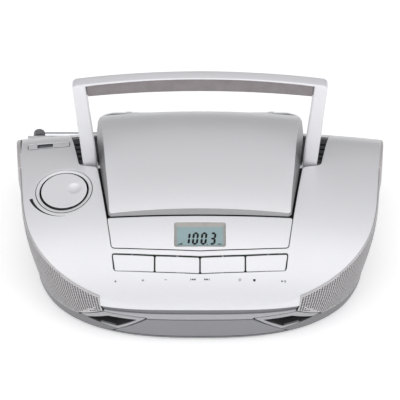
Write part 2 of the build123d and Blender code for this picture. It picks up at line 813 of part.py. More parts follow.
# Display panel between lid and keys, its window and the display behind it
panel_depth = 2.0
panel_high_y = lid_front_y - 0.8
panel_points = [
    (-20, panel_high_y), (panel_low_half + opening_side * (panel_high_y - panel_low_y) - seam, panel_high_y),
    (panel_low_half - seam, panel_low_y + seam), (42, panel_low_y - 1.6), (0, panel_low_y - key_bow + seam),
    (-20, panel_low_y - key_bow + seam),
]
window_plane = surface_plane(0, (window_top_y + window_low_y) / 2)
window_slope = math.cos(math.asin(window_plane.z_dir.Y))
window_height = (window_top_y - window_low_y) / window_slope
with BuildPart() as panel_half:
    add(prism(panel_points, 60, 120))
    add(right_side, mode=Mode.INTERSECT)
    add(under_side, mode=Mode.INTERSECT)
    add(under_top(panel_depth), mode=Mode.SUBTRACT)
with BuildPart() as display_panel:
    add(panel_half.part)
    mirror(about=Plane.YZ)
    with BuildSketch(window_plane):
        Rectangle(2 * window_half, window_height)
    extrude(amount=8, both=True, mode=Mode.SUBTRACT)
write(display_panel.part, "display_panel")
window_recess = 0.9
window_depth = 1.2
with BuildPart() as lcd_window:
    with BuildSketch(window_plane.offset(-window_recess)):
        Rectangle(2 * window_half - 0.4, window_height - 0.4)
    extrude(amount=-window_depth)
write(lcd_window.part, "lcd_window")
with BuildPart() as lcd_module:
    with BuildSketch(window_plane.offset(-window_recess - window_depth)):
        Rectangle(2 * window_half - 1.2, window_height - 1.2)
    extrude(amount=-5)
write(lcd_module.part, "lcd_module")

# Four rocker keys in a row, each on a rod that lies along the slope
key_rod_depth = 5.0
key_rod_radius = 1.0
key_boss_half = 5.0
lug_reach = 8.2
key_split = 38.4
key_middles = [-1.5 * key_split, -0.5 * key_split, 0.5 * key_split, 1.5 * key_split]
key_floor = under_top(key_depth)
key_rod_parts = []
for number, middle in enumerate(key_middles, start=1):
    inner = abs(middle) < key_split
    low_x = key_gap / 2 if inner else key_split + key_gap / 2
    high_x = key_split - key_gap / 2 if inner else key_row_half
    with BuildPart() as key_cap:
        add(prism(key_row_points, 40, 110, -key_gap))
        add(block(low_x, high_x, -120, -60, 0, 200), mode=Mode.INTERSECT)
        add(under_side, mode=Mode.INTERSECT)
        add(key_floor, mode=Mode.SUBTRACT)
        if middle < 0:
            mirror(about=Plane.YZ)
            add(block(-200, 0, -200, 200, 0, 200), mode=Mode.INTERSECT)
    row_y = key_mid_y - 0.9 if inner else key_mid_y + 0.7
    own_plane = surface_plane(middle, row_y)
    cross_plane = Plane(origin=own_plane.origin - own_plane.z_dir * key_rod_depth,
                        x_dir=own_plane.x_dir, z_dir=own_plane.y_dir)
    with BuildPart() as key:
        add(key_cap.part)
        with BuildSketch(cross_plane.offset(-key_boss_half)):
            Circle(2.6)
        extrude(amount=2 * key_boss_half)
        with BuildSketch(cross_plane.offset(-9)):
            Circle(key_rod_radius + pin_clearance)
        extrude(amount=18, mode=Mode.SUBTRACT)
    write(key.part, f"key_{number}")
    with BuildPart() as key_rod:
        with BuildSketch(cross_plane.offset(-lug_reach)):
            Circle(key_rod_radius)
        extrude(amount=2 * lug_reach)
        for side in (-1, 1):
            with BuildSketch(cross_plane.offset(side * lug_reach - 0.8)):
                with Locations((0, 4.4)):
                    Rectangle(5, 10.8)
            extrude(amount=1.6)
        with BuildSketch(key_plane.offset(-board_depth)):
            Rectangle(300, 60)
        extrude(amount=-30, mode=Mode.SUBTRACT)
    key_rod_parts.append(key_rod.part)
with BuildPart() as key_rods:
    for piece in key_rod_parts:
        add(piece)
write(key_rods.part, "key_rods")
with BuildPart() as key_board:
    with BuildSketch(key_plane.offset(-board_depth)):
        with Locations((0, 1.5)):
            Rectangle(2 * board_post_x + 4, 20)
    extrude(amount=-1.6)
write(key_board.part, "key_board")

# Volume knob in its collar, on the control below
knob_recess = 0.8
knob_low = -9.5
dimple_radius = 5.8
stem_radius = 3.0
with BuildPart() as knob_collar:
    with BuildSketch(knob_plane.offset(knob_low - 1.5)):
        Circle(collar_radius)
    extrude(amount=15)
    with BuildSketch(knob_plane.offset(knob_low - 0.4)):
        Circle(knob_radius + fit)
    extrude(amount=20, mode=Mode.SUBTRACT)
    with BuildSketch(knob_plane.offset(knob_low - 3)):
        Circle(stem_radius + 1)
    extrude(amount=6, mode=Mode.SUBTRACT)
    add(under_top(0).mirror(Plane.YZ), mode=Mode.INTERSECT)
write(knob_collar.part, "knob_collar")
with BuildPart() as volume_knob:
    with BuildSketch(knob_plane.offset(knob_low)):
        Circle(knob_radius)
    extrude(amount=-knob_low - knob_recess)
    with BuildSketch(knob_plane.offset(-knob_recess - 0.8)):
        with Locations((9, 2)):
            Circle(dimple_radius)
    extrude(amount=2, mode=Mode.SUBTRACT)
    with BuildSketch(knob_plane.offset(knob_low - 9)):
        Circle(stem_radius)
    extrude(amount=9)
write(volume_knob.part, "volume_knob")
with BuildPart() as volume_control:
    with BuildSketch(knob_plane.offset(knob_low - 1.5)):
        Circle(12)
    extrude(amount=-9)
    with BuildSketch(knob_plane.offset(knob_low - 1)):
        Circle(stem_radius + pin_clearance)
    extrude(amount=-9, mode=Mode.SUBTRACT)
write(volume_control.part, "volume_control")

# Frame and socket for a memory stick
stick_slot_x = -3.3
with BuildPart() as usb_frame:
    with BuildSketch(stick_plane.offset(-5)):
        RectangleRounded(stick_width, stick_height, stick_corner)
        with Locations((stick_slot_x, 0)):
            Rectangle(13.4, 6.0, mode=Mode.SUBTRACT)
    extrude(amount=10)
    add(under_top(0).mirror(Plane.YZ), mode=Mode.INTERSECT)
write(usb_frame.part, "usb_frame")
with BuildPart() as usb_socket:
    with BuildSketch(stick_plane.offset(-16)):
        with Locations((stick_slot_x, 0)):
            Rectangle(13.2, 5.8)
    extrude(amount=14.6)
    with BuildSketch(stick_plane.offset(-14)):
        with Locations((stick_slot_x, 0)):
            Rectangle(12.2, 4.8)
            with Locations((0, 1.2)):
                Rectangle(11, 1.6, mode=Mode.SUBTRACT)
    extrude(amount=20, mode=Mode.SUBTRACT)
    with BuildSketch(stick_plane.offset(-3)):
        with Locations((stick_slot_x, 0)):
            Rectangle(12.2, 4.8)
    extrude(amount=6, mode=Mode.SUBTRACT)
write(usb_socket.part, "usb_socket")

# Carrying handle: frame with two arms and a top lip, the grip set in it, and its pivot pins
lip = 1.4
lean_in = 0.0975
arm_top_x = arm_outer_x + arm_splay * (grip_end_z - pivot_z)
grip_low_x = arm_inner_x + lean_in * (grip_end_z - grip_height + 4 - pivot_z)
grip_high_x = arm_inner_x + lean_in * (grip_end_z + 0.6 - pivot_z)
with BuildPart() as handle_frame:
    with BuildSketch(Plane.XZ.offset(-pivot_y - arm_depth / 2)):
        with BuildLine():
            Polyline((arm_inner_x, pivot_z), (arm_outer_x, pivot_z), (arm_top_x - 0.3, grip_end_z - 4),
                     (arm_top_x - 1.8, grip_end_z - 1), (arm_top_x - 5, grip_end_z + 1))
            ThreePointArc((arm_top_x - 5, grip_end_z + 1), (0, grip_end_z + grip_rise),
                          (-arm_top_x + 5, grip_end_z + 1))
            Polyline((-arm_top_x + 5, grip_end_z + 1), (-arm_top_x + 1.8, grip_end_z - 1),
                     (-arm_top_x + 0.3, grip_end_z - 4), (-arm_outer_x, pivot_z), (-arm_inner_x, pivot_z),
                     (-grip_high_x, grip_end_z + 0.6))
            ThreePointArc((-grip_high_x, grip_end_z + 0.6), (0, grip_end_z + grip_rise - lip),
                          (grip_high_x, grip_end_z + 0.6))
            Line((grip_high_x, grip_end_z + 0.6), (arm_inner_x, pivot_z))
        make_face()
    extrude(amount=arm_depth)
    add(rod(pivot_y, pivot_z, arm_inner_x, arm_outer_x, arm_depth / 2))
    add(rod(pivot_y, pivot_z, -arm_outer_x, -arm_inner_x, arm_depth / 2))
    add(rod(pivot_y, pivot_z, -120, 120, pin_radius + pin_clearance), mode=Mode.SUBTRACT)
write(handle_frame.part, "handle_frame")
grip_setback = 2.0
with BuildPart() as handle_grip:
    with BuildSketch(Plane.XZ.offset(-pivot_y - arm_depth / 2)):
        with BuildLine():
            Line((grip_low_x, grip_end_z - grip_height + 4), (grip_high_x, grip_end_z + 0.6))
            ThreePointArc((grip_high_x, grip_end_z + 0.6), (0, grip_end_z + grip_rise - lip),
                          (-grip_high_x, grip_end_z + 0.6))
            Line((-grip_high_x, grip_end_z + 0.6), (-grip_low_x, grip_end_z - grip_height + 4))
            ThreePointArc((-grip_low_x, grip_end_z - grip_height + 4),
                          (0, grip_end_z + grip_rise - grip_height),
                          (grip_low_x, grip_end_z - grip_height + 4))
        make_face()
    extrude(amount=arm_depth - grip_setback)
write(handle_grip.part, "handle_grip")
pin_low_x = 83.0
pin_high_x = 106.4
with BuildPart() as handle_pins:
    add(rod(pivot_y, pivot_z, pin_low_x, pin_high_x, pin_radius))
    add(rod(pivot_y, pivot_z, -pin_high_x, -pin_low_x, pin_radius))
write(handle_pins.part, "handle_pins")

# Telescopic antenna lying along the back, on a swivel in its corner block
base_rear_y = 98.0
swivel_radius = 5.0
swivel_low_y = base_rear_y + 0.2
swivel_high_y = rear_y - 0.6
with BuildPart() as corner_solid:
    add(hull(-cap_proud - 0.1))
    add(under_side, mode=Mode.INTERSECT)
with BuildPart() as antenna_base:
    add(block(130, 152, 74, base_rear_y, 50, 89))
    add(corner_solid.part, mode=Mode.SUBTRACT)
    mirror(about=Plane.YZ)
    add(block(0, 200, -200, 200, 0, 200), mode=Mode.SUBTRACT)
    with BuildSketch(Plane.XZ.offset(-base_rear_y - 1)):
        with Locations((antenna_x, antenna_z)):
            Circle(2 + pin_clearance)
    extrude(amount=4.6, mode=Mode.SUBTRACT)
write(antenna_base.part, "antenna_base")
with BuildPart() as antenna_knuckle:
    with BuildSketch(Plane.XZ.offset(-swivel_high_y)):
        with Locations((antenna_x, antenna_z)):
            Circle(swivel_radius)
    extrude(amount=swivel_high_y - swivel_low_y)
    with BuildSketch(Plane.XZ.offset(-swivel_high_y)):
        with Locations((antenna_x, antenna_z)):
            Circle(2)
    extrude(amount=swivel_high_y - base_rear_y + 3.2)
    add(rod(antenna_y, antenna_z, antenna_x, antenna_x + 8, tube_radius - 0.7))
write(antenna_knuckle.part, "antenna_knuckle")
tube_step = 0.6
tube_wall = 0.55
tube_start = antenna_x + 5.2
for number in range(4):
    outer = tube_radius - number * tube_step
    bore = 0 if number == 3 else outer - tube_wall
    start = tube_start + 2.9 if number else tube_start
    start += 0.6 * number
    with BuildPart() as tube:
        add(rod(antenna_y, antenna_z, start, start + tube_length, outer, bore))
        if number == 3:
            add(rod(antenna_y, antenna_z, start + tube_length, start + tube_length + 3, tube_radius - 0.4))
    write(tube.part, f"antenna_tube_{number + 1}")

# Bass ports: a framed opening on each side of the front with a duct through the baffle
duct_rear_y = -80.0
with BuildPart() as duct:
    add(front_prism(port_opening, front_near, duct_rear_y, duct_wall))
    add(front_prism(port_corners, front_near, duct_rear_y), mode=Mode.INTERSECT)
    add(hull(wall / 2), mode=Mode.INTERSECT)
with BuildPart() as right_port:
    add(wall_half.part)
    add(front_prism(port_corners, front_near, 0), mode=Mode.INTERSECT)
    add(duct.part)
    add(front_prism(port_opening, front_near, duct_rear_y + 1), mode=Mode.SUBTRACT)
save_pair(right_port.part, "port")

# Loudspeakers behind the baffles
basket_radius = 36.0
magnet_radius = 18.0


def speaker_turned(points):
    """A round piece about the axis of the right loudspeaker from (radius, depth) points."""
    upright = Plane(origin=baffle_plane.origin, x_dir=(baffle_plane.x_dir.X, baffle_plane.x_dir.Y, 0),
                    z_dir=(0, 0, -1))
    with BuildPart() as piece:
        with BuildSketch(upright):
            with BuildLine():
                Polyline(*points, close=True)
            make_face()
        revolve(axis=Axis(baffle_plane.origin, baffle_plane.z_dir))
    return piece.part


basket = speaker_turned([
    (speaker_radius - 1.8, -baffle_depth), (basket_radius, -baffle_depth), (basket_radius, -baffle_depth - 2.5),
    (speaker_radius + 0.5, -baffle_depth - 2.5), (magnet_radius + 1.5, -20), (magnet_radius, -20),
    (magnet_radius, -32), (0, -32), (0, -18), (magnet_radius - 1, -18),
    (speaker_radius - 1.8, -baffle_depth - 3),
])
save_pair(basket, "speaker")
cone = speaker_turned([
    (speaker_radius - 2.1, -baffle_depth), (speaker_radius - 2.1, -baffle_depth - 1.2), (10, -14.5), (0, -14.5),
    (0, -10), (6, -11), (10, -13), (speaker_radius - 6, -baffle_depth - 1),
    (speaker_radius - 4, -baffle_depth + 0.6),
])
with BuildPart() as speaker_cones:
    add(cone)
    mirror(about=Plane.YZ)
write(speaker_cones.part, "speaker_cones")

# Sockets in the rear wall
with BuildPart() as mains_inlet:
    add(block(mains_x - mains_width / 2 + 0.2, mains_x + mains_width / 2 - 0.2, 85, 101.2,
              mains_z - mains_height / 2 + 0.2, mains_z + mains_height / 2 - 0.2))
    add(block(mains_x - mains_width / 2 - 1, mains_x + mains_width / 2 + 1, 92.5, 94.5,
              mains_z - mains_height / 2 - 1.5, mains_z + mains_height / 2 + 1.5))
    with BuildSketch(Plane.XZ.offset(-110)):
        with Locations((mains_x, mains_z)):
            SlotOverall(17, 8.6)
    extrude(amount=23, mode=Mode.SUBTRACT)
    with BuildSketch(Plane.XZ.offset(-99)):
        with Locations((mains_x - 4.2, mains_z), (mains_x + 4.2, mains_z)):
            Circle(1.2)
    extrude(amount=13)
write(mains_inlet.part, "mains_inlet")
with BuildPart() as audio_socket:
    with BuildSketch(Plane.XZ.offset(-102)):
        with Locations((socket_x, mains_z)):
            Circle(socket_radius + 2.3)
            Circle(socket_radius, mode=Mode.SUBTRACT)
    extrude(amount=16)
    with BuildSketch(Plane.XZ.offset(-97)):
        with Locations((socket_x, mains_z)):
            Rectangle(12, 12)
            Circle(socket_radius, mode=Mode.SUBTRACT)
    extrude(amount=11)
write(audio_socket.part, "audio_socket")

# Battery door in the rear wall, hinged at its lower edge, and the contacts of the bay
with BuildPart() as battery_door:
    add(wall_half.part)
    add(block(-1, bay_half - fit, 60, 120, bay_low_z + fit, bay_high_z - fit), mode=Mode.INTERSECT)
    mirror(about=Plane.YZ)
    add(rod(door_axis_y, door_axis_z, -bay_half - 1.6, bay_half + 1.6, door_pin_radius))
write(battery_door.part, "battery_door")
cell_row_y = [bay_front_y + 1 + cell_radius, bay_front_y + 1 + 3 * cell_radius]
cell_z = bay_low_z + cell_radius + 0.5
with BuildPart() as battery_contacts:
    for side in (-1, 1):
        for y in cell_row_y:
            low = bay_half - 0.8 if side > 0 else -bay_half
            add(block(low, low + 0.8, y - 10, y + 10, cell_z - 9, cell_z + 9))
            end_x = side * (bay_half - 2.6)
            add(rod(y, cell_z, end_x - 1, end_x + 2.2 - (side < 0) * 0.2, 4))
write(battery_contacts.part, "battery_contacts")

# Feet and screws
foot_spots = [(100, -58), (-100, -58), (112, 82), (-112, 82)]
foot_radius = 9.0
with BuildPart() as rubber_feet:
    for x, y in foot_spots:
        add(disc(x, y, 0, foot_height, foot_radius))
write(rubber_feet.part, "rubber_feet")
with BuildPart() as cabinet_screws:
    for x, y in screw_spots:
        add(disc(x, y, counterbore_z - 2.4, counterbore_z, screw_head_radius))
        add(disc(x, y, counterbore_z, post_top_z + 10, screw_radius))
write(cabinet_screws.part, "cabinet_screws")

# Circuit board and mains transformer
with BuildPart() as main_board:
    add(block(-70, 70, -40, bay_front_y - bay_wall - 2, board_low_z, board_low_z + 1.6))
    add(block(-40, 0, -20, -8, board_low_z + 1.6, board_low_z + 18))
    add(block(20, 32, 5, 17, board_low_z + 1.6, board_low_z + 4))
    add(disc(50, -25, board_low_z + 1.6, board_low_z + 14, 6))
    add(disc(50, -8, board_low_z + 1.6, board_low_z + 14, 6))
write(main_board.part, "main_board")
with BuildPart() as transformer:
    add(block(-128, -90, 48, 80, floor_top_z, 40))
    add(block(-118, -100, 44, 82, floor_top_z + 6, 34))
write(transformer.part, "transformer")
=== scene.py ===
import math

import bmesh
import bpy
import numpy as np
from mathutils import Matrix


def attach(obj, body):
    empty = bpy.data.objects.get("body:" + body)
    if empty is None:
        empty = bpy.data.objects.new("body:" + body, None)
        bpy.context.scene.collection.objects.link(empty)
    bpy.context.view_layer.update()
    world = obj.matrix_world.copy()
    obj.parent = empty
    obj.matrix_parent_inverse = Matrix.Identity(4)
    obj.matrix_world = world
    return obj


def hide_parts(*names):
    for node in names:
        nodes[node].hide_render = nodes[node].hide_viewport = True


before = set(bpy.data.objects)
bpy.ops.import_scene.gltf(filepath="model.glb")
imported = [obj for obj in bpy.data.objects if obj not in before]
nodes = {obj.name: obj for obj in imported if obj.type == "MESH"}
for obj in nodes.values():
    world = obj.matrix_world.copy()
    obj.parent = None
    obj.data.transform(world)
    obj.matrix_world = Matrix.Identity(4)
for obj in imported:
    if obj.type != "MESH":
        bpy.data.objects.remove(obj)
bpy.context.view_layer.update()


# The stand of the photograph: the player sits on a pale sheet under a wide soft box, with a dimmer room behind it.
# The camera looks down at 42 degrees through a long lens, straight at the front.
def linear(code):
    """sRGB hex to linear light: a channel c is c / 12.92 when dark, else ((c + 0.055) / 1.055) to the power 2.4."""
    parts = np.array([int(code[i:i + 2], 16) for i in (1, 3, 5)]) / 255
    bright = ((parts + 0.055) / 1.055) ** 2.4
    return (*np.where(parts < 0.04045, parts / 12.92, bright).tolist(), 1.0)


def add_node(tree, kind, settings=None, sockets=None):
    """Adds a shader node, sets its properties, and gives each input a value, or a link where the value is an output."""
    node = tree.nodes.new("ShaderNode" + kind)
    for key, value in (settings or {}).items():
        setattr(node, key, value)
    for key, value in (sockets or {}).items():
        if isinstance(value, bpy.types.NodeSocket):
            tree.links.new(value, node.inputs[key])
        else:
            node.inputs[key].default_value = value
    return node


camera_data = bpy.data.cameras.new("camera")
camera_data.lens = 416
camera_data.sensor_width = 36
camera_data.clip_end = 50
camera = bpy.data.objects.new("camera", camera_data)
camera.location = (0, -2.9526, 2.7315)
camera.rotation_euler = (math.radians(48), 0, 0)
bpy.context.scene.collection.objects.link(camera)
bpy.context.scene.camera = camera
bpy.context.scene.view_settings.view_transform = "Standard"

for light_name, size, power, place in (
    ("soft_box", 2.6, 15, (0, -0.95, 1.7)),
    ("left_fill", 1.0, 1.2, (-1.6, -0.9, 1.1)),
    ("right_fill", 1.0, 1.8, (1.6, -0.9, 1.1)),
):
    light_data = bpy.data.lights.new(light_name, "AREA")
    light_data.size = size
    light_data.energy = power
    light = bpy.data.objects.new(light_name, light_data)
    light.location = place
    bpy.context.scene.collection.objects.link(light)
    aim = np.array((0, 0, 0.06)) - np.array(place)
    light.rotation_euler = (math.acos(-aim[2] / np.linalg.norm(aim)), 0, math.atan2(aim[1], aim[0]) - math.pi / 2)

room = bpy.data.worlds.new("room")
room.use_nodes = True
room.node_tree.nodes.clear()
room_way = add_node(room.node_tree, "TexCoord")
room_height = add_node(room.node_tree, "VectorMath", {"operation": "DOT_PRODUCT"},
                       {0: room_way.outputs["Generated"], 1: (0.0, -0.50, 0.866)})
room_light = add_node(room.node_tree, "MapRange", {"interpolation_type": "SMOOTHSTEP"},
                      {"Value": room_height.outputs["Value"], "From Min": -0.35, "From Max": 0.85,
                       "To Min": 0.16, "To Max": 0.80})
room_sky = add_node(room.node_tree, "Background", None,
                    {"Color": linear("#fbfbfd"), "Strength": room_light.outputs["Result"]})
add_node(room.node_tree, "OutputWorld", None, {"Surface": room_sky.outputs["Background"]})
bpy.context.scene.world = room

sheet_paper = bpy.data.materials.new("pale_paper")
sheet_paper.use_nodes = True
sheet_paper.node_tree.nodes.clear()
paper_shader = add_node(sheet_paper.node_tree, "BsdfPrincipled", None,
                        {"Base Color": linear("#f7f7f7"), "Roughness": 0.9,
                         "Emission Color": linear("#ffffff"), "Emission Strength": 0.34})
add_node(sheet_paper.node_tree, "OutputMaterial", None, {"Surface": paper_shader.outputs["BSDF"]})
floor_mesh = bpy.data.meshes.new("floor")
floor_mesh.from_pydata([(-4, -4, 0), (4, -4, 0), (4, 4, 0), (-4, 4, 0)], [], [(0, 1, 2, 3)])
floor_mesh.materials.append(sheet_paper)
floor = bpy.data.objects.new("floor", floor_mesh)
bpy.context.scene.collection.objects.link(floor)


# Top cover: the silver shell over the whole player, injection moulded in ABS and sprayed with a fine metallic
# lacquer. It drops onto the lower half and is held by four screws from below. Its openings have rolled edges.
mm = 0.001
crest_z, crown_radius = 104.3, 1190.0
top_line = [(-108, 20), (-105, 41), (-91, 68), (-78, 81), (-44.5, 96.6), (-15, 102.5), (11, 104.3), (37, 103.6),
            (55, 99.8), (73, 88.5), (90, 70), (101, 50), (106, 25)]


def smooth_line(points, count=1600):
    """Cubic splines of both coordinates over the chord length, with no bend at the ends, and the length along them."""
    points = np.array(points, float)
    along = np.concatenate([[0], np.cumsum(np.hypot(*np.diff(points, axis=0).T))])
    gaps = np.diff(along)
    system = np.eye(len(points))
    load = np.zeros_like(points)
    for i in range(1, len(points) - 1):
        system[i, i - 1:i + 2] = gaps[i - 1], 2 * (gaps[i - 1] + gaps[i]), gaps[i]
        load[i] = 6 * ((points[i + 1] - points[i]) / gaps[i] - (points[i] - points[i - 1]) / gaps[i - 1])
    bend = np.linalg.solve(system, load)
    at = np.linspace(0, along[-1], count)
    k = np.clip(np.searchsorted(along, at) - 1, 0, len(gaps) - 1)
    a = ((along[k + 1] - at) / gaps[k])[:, None]
    b = 1 - a
    curve = ((a ** 3 - a) * bend[k] + (b ** 3 - b) * bend[k + 1]) * gaps[k, None] ** 2 / 6
    line = a * points[k] + b * points[k + 1] + curve
    run = np.concatenate([[0], np.cumsum(np.hypot(*np.diff(line, axis=0).T))])
    return line[:, 0], line[:, 1], run


top_y, top_z, top_run = smooth_line(top_line)
top_slope_y, top_slope_z = np.gradient(top_y, top_run), np.gradient(top_z, top_run)


def run_at(y):
    """Length along the middle line of the top, from the nose to the distance y."""
    return np.interp(y, top_y, top_run)


def top_height(x, y):
    """Height of the crowned top: the middle line turned about an axis far below it."""
    reach = np.interp(y, top_y, top_z) - crest_z + crown_radius
    return crest_z - crown_radius + np.sqrt(reach ** 2 - x ** 2)


hull_levels = (3, 41, 75, 112)
hull_width, hull_front, hull_rear, hull_bend = [
    np.polyfit(hull_levels, values, 3)
    for values in ((141, 147.5, 153.5, 150), (98.3, 105, 106, 104), (100, 105, 105, 102), (2.6, 3.2, 3.4, 3.48))
]


quarter_points = 220


def wall_table():
    """The walls' plan line at sixty heights. A quarter is a superellipse, x = w cos(t)^(2/p), y = r sin(t)^(2/p), run
    from the middle of the front round to the middle of the rear and divided evenly by length."""
    levels = np.linspace(3, 112, 60)
    share = np.linspace(0, 1, quarter_points)
    front_turn = np.linspace(1, 0, 700) ** 2.2 * math.pi / 2
    rear_turn = np.linspace(0, 1, 900) ** 4 * math.pi / 2
    rows_x, rows_y, lengths = [], [], []
    for z in levels:
        width, front, rear, bend = [np.polyval(curve, z) for curve in (hull_width, hull_front, hull_rear, hull_bend)]
        row_x, row_y = [], []
        for turn, power, reach, side in ((front_turn, bend, front, -1), (rear_turn, 7, rear, 1)):
            y = side * reach * np.sin(turn) ** (2 / power)
            x = width * np.cos(turn).clip(0) ** (2 / power) * (1 + 0.00045 * y)
            run = np.concatenate([[0], np.cumsum(np.hypot(np.diff(x), np.diff(y)))])
            row_x.append(np.interp(share * run[-1], run, x))
            row_y.append(np.interp(share * run[-1], run, y))
            lengths.append(run[-1])
        rows_x.append(np.concatenate([row_x[0], row_x[1][1:]]))
        rows_y.append(np.concatenate([row_y[0], row_y[1][1:]]))
    front_length, rear_length = np.mean(lengths[::2]), np.mean(lengths[1::2])
    run = np.concatenate([share * front_length, front_length + share[1:] * rear_length])
    return levels, run, np.array(rows_x), np.array(rows_y)


wall_levels, wall_run, wall_x, wall_y = wall_table()


def wall_point(u, z, w=0.0):
    """A point of the walls, u mm round from the middle of the front, at height z and w mm outside the surface."""
    level = np.clip((z - wall_levels[0]) / (wall_levels[1] - wall_levels[0]), 0, len(wall_levels) - 1.001)
    low = level.astype(int)
    share = level - low
    at = np.abs(u)

    def read(table, spot):
        k = np.clip(np.searchsorted(wall_run, spot) - 1, 0, len(wall_run) - 2)
        part = (spot - wall_run[k]) / (wall_run[k + 1] - wall_run[k])
        below = table[low, k] * (1 - part) + table[low, k + 1] * part
        above = table[low + 1, k] * (1 - part) + table[low + 1, k + 1] * part
        return below * (1 - share) + above * share

    x, y = read(wall_x, at), read(wall_y, at)
    ahead_x, ahead_y = read(wall_x, at + 0.8) - read(wall_x, at - 0.8), read(wall_y, at + 0.8) - read(wall_y, at - 0.8)
    length = np.hypot(ahead_x, ahead_y) + 1e-9
    side = np.where(u < 0, -1, 1)
    return side * (x + w * ahead_y / length), y - w * ahead_x / length, z


def crest_line(inset, start=0.0, count=420):
    """Where the walls, set in by inset, meet the top: the height is found by going to and fro between the two."""
    u = np.linspace(start, wall_run[-1], count)
    z = np.full(count, 75.0)
    for _ in range(40):
        x, y, _ = wall_point(u, z, -inset)
        z = 0.5 * z + 0.5 * top_height(x, y)
    return u, x, y, z


def smooth_gap(u, v, outline):
    """Distance in mm from each point to a closed outline, positive inside, by its nearest run and a crossing count."""
    outline = np.asarray(outline, float)
    best = np.full(np.shape(u), 1e9)
    within = np.zeros(np.shape(u), bool)
    for (au, av), (bu, bv) in zip(outline, np.roll(outline, -1, axis=0)):
        run_u, run_v = bu - au, bv - av
        size = run_u ** 2 + run_v ** 2
        if size < 1e-12:
            continue
        share = np.clip(((u - au) * run_u + (v - av) * run_v) / size, 0, 1)
        best = np.minimum(best, (u - au - share * run_u) ** 2 + (v - av - share * run_v) ** 2)
        if abs(run_v) > 1e-9:
            within ^= ((av > v) != (bv > v)) & (u < run_u * (v - av) / run_v + au)
    best = np.sqrt(best)
    return np.where(within, best, -best)


def within(outline):
    """The distance inside that outline, as plate wants it."""
    return lambda u, v: smooth_gap(u, v, outline)


def soft_corners(outline, radius, count=5):
    """The outline with each corner replaced by a short parabola that starts radius mm before it."""
    outline = np.asarray(outline, float)
    before, after = np.roll(outline, 1, axis=0), np.roll(outline, -1, axis=0)
    rounded = []
    for corner, last, following in zip(outline, before, after):
        ends = []
        for other in (last, following):
            length = np.hypot(*(other - corner))
            ends.append(corner + (other - corner) / length * min(radius, 0.45 * length))
        for share in np.linspace(0, 1, count):
            rounded.append((1 - share) ** 2 * ends[0] + 2 * share * (1 - share) * corner + share ** 2 * ends[1])
    return np.array(rounded)


def both_sides(right):
    """A closed outline from its right half, which runs from the middle line round to the middle line."""
    right = np.asarray(right, float)
    left = right[::-1] * (-1, 1)
    return np.concatenate([right, left[np.abs(left[:, 0]) > 1e-6]])


def on_top(outline, longest=5.0):
    """A plan outline as (x, length along the top), with its long runs divided."""
    dense = []
    for start, end in zip(outline, np.roll(outline, -1, axis=0)):
        steps = max(1, int(np.hypot(*(np.array(end) - start)) / longest))
        dense.extend(start + (end - start) * k / steps for k in range(steps))
    dense = np.array(dense)
    return np.stack([dense[:, 0], run_at(dense[:, 1])], 1)


def plate(inside, box, step, place, roll, depth, rings=None):
    """A thin moulded plate on a square grid. Points where inside(u, v), in mm, is over roll are kept, and those near
    that line are slid onto it along the slope. place(u, v, w) puts a point in space, w mm above the face. The edge
    rolls over a quarter circle of that radius and goes down to depth, where the same grid, turned over, closes it."""
    u, v = np.meshgrid(np.arange(box[0], box[1] + step, step), np.arange(box[2], box[3] + step, step), indexing="ij")

    def slope(a, b):
        du = inside(a + step / 20, b) - inside(a - step / 20, b)
        dv = inside(a, b + step / 20) - inside(a, b - step / 20)
        size = np.hypot(du, dv) + 1e-12
        return du / size, dv / size

    gap = inside(u, v) - roll
    near = np.abs(gap) < 0.6 * step
    for _ in range(2):
        a, b = u[near], v[near]
        off = inside(a, b) - roll
        du, dv = slope(a, b)
        u[near], v[near] = a - off * du, b - off * dv
    keep = gap > -0.4 * step
    number = np.where(keep, np.cumsum(keep).reshape(keep.shape) - 1, -1)
    u, v = u[keep], v[keep]
    cells = np.stack([number[:-1, :-1], number[1:, :-1], number[1:, 1:], number[:-1, 1:]], -1).reshape(-1, 4)
    filled = (cells >= 0).sum(1)
    quads = cells[filled == 4]
    corners = cells[filled == 3]
    corners = corners[corners >= 0].reshape(-1, 3)
    edges = np.concatenate([quads[:, [k, (k + 1) % 4]] for k in range(4)] +
                           [corners[:, [k, (k + 1) % 3]] for k in range(3)])
    forward = edges[:, 0] * len(u) + edges[:, 1]
    rim = edges[~np.isin(forward, edges[:, 1] * len(u) + edges[:, 0])]
    border = np.unique(rim)
    rim = np.searchsorted(border, rim)
    bu, bv = u[border], v[border]
    du, dv = slope(bu, bv)
    if rings is None:
        steps = [(roll * math.sin(a), roll * (math.cos(a) - 1)) for a in np.radians((30, 60, 90))] if roll else []
        rings = [lambda a, b, ou, ov, o=o, w=w: place(a + o * ou, b + o * ov, np.full(a.shape, w))
                 for o, w in steps + [(roll, -depth)]]
    points = [np.stack(place(u, v, np.zeros(u.shape)), 1)]
    ring_ids, total, walls = [border], len(u), []
    for ring in rings:
        points.append(np.stack(ring(bu, bv, -du, -dv), 1))
        ring_ids.append(total + np.arange(len(border)))
        total += len(border)
        upper, lower = ring_ids[-2], ring_ids[-1]
        walls.append(np.stack([upper[rim[:, 1]], upper[rim[:, 0]], lower[rim[:, 0]], lower[rim[:, 1]]], 1))
    quads = [quads] + walls
    corners = [corners]
    points.append(np.stack(place(u, v, np.full(u.shape, -depth)), 1))
    back = total + np.arange(len(u))
    back[border] = ring_ids[-1]
    quads.append(back[quads[0]][:, ::-1])
    corners.append(back[corners[0]][:, ::-1])
    return np.concatenate(points), np.concatenate(quads), np.concatenate(corners)


def mirrored(shape):
    """The same surface on the other side of the middle plane, with its faces turned to point outwards again."""
    points, quads, corners = shape
    return points * (-1, 1, 1), quads[:, ::-1], corners[:, ::-1]


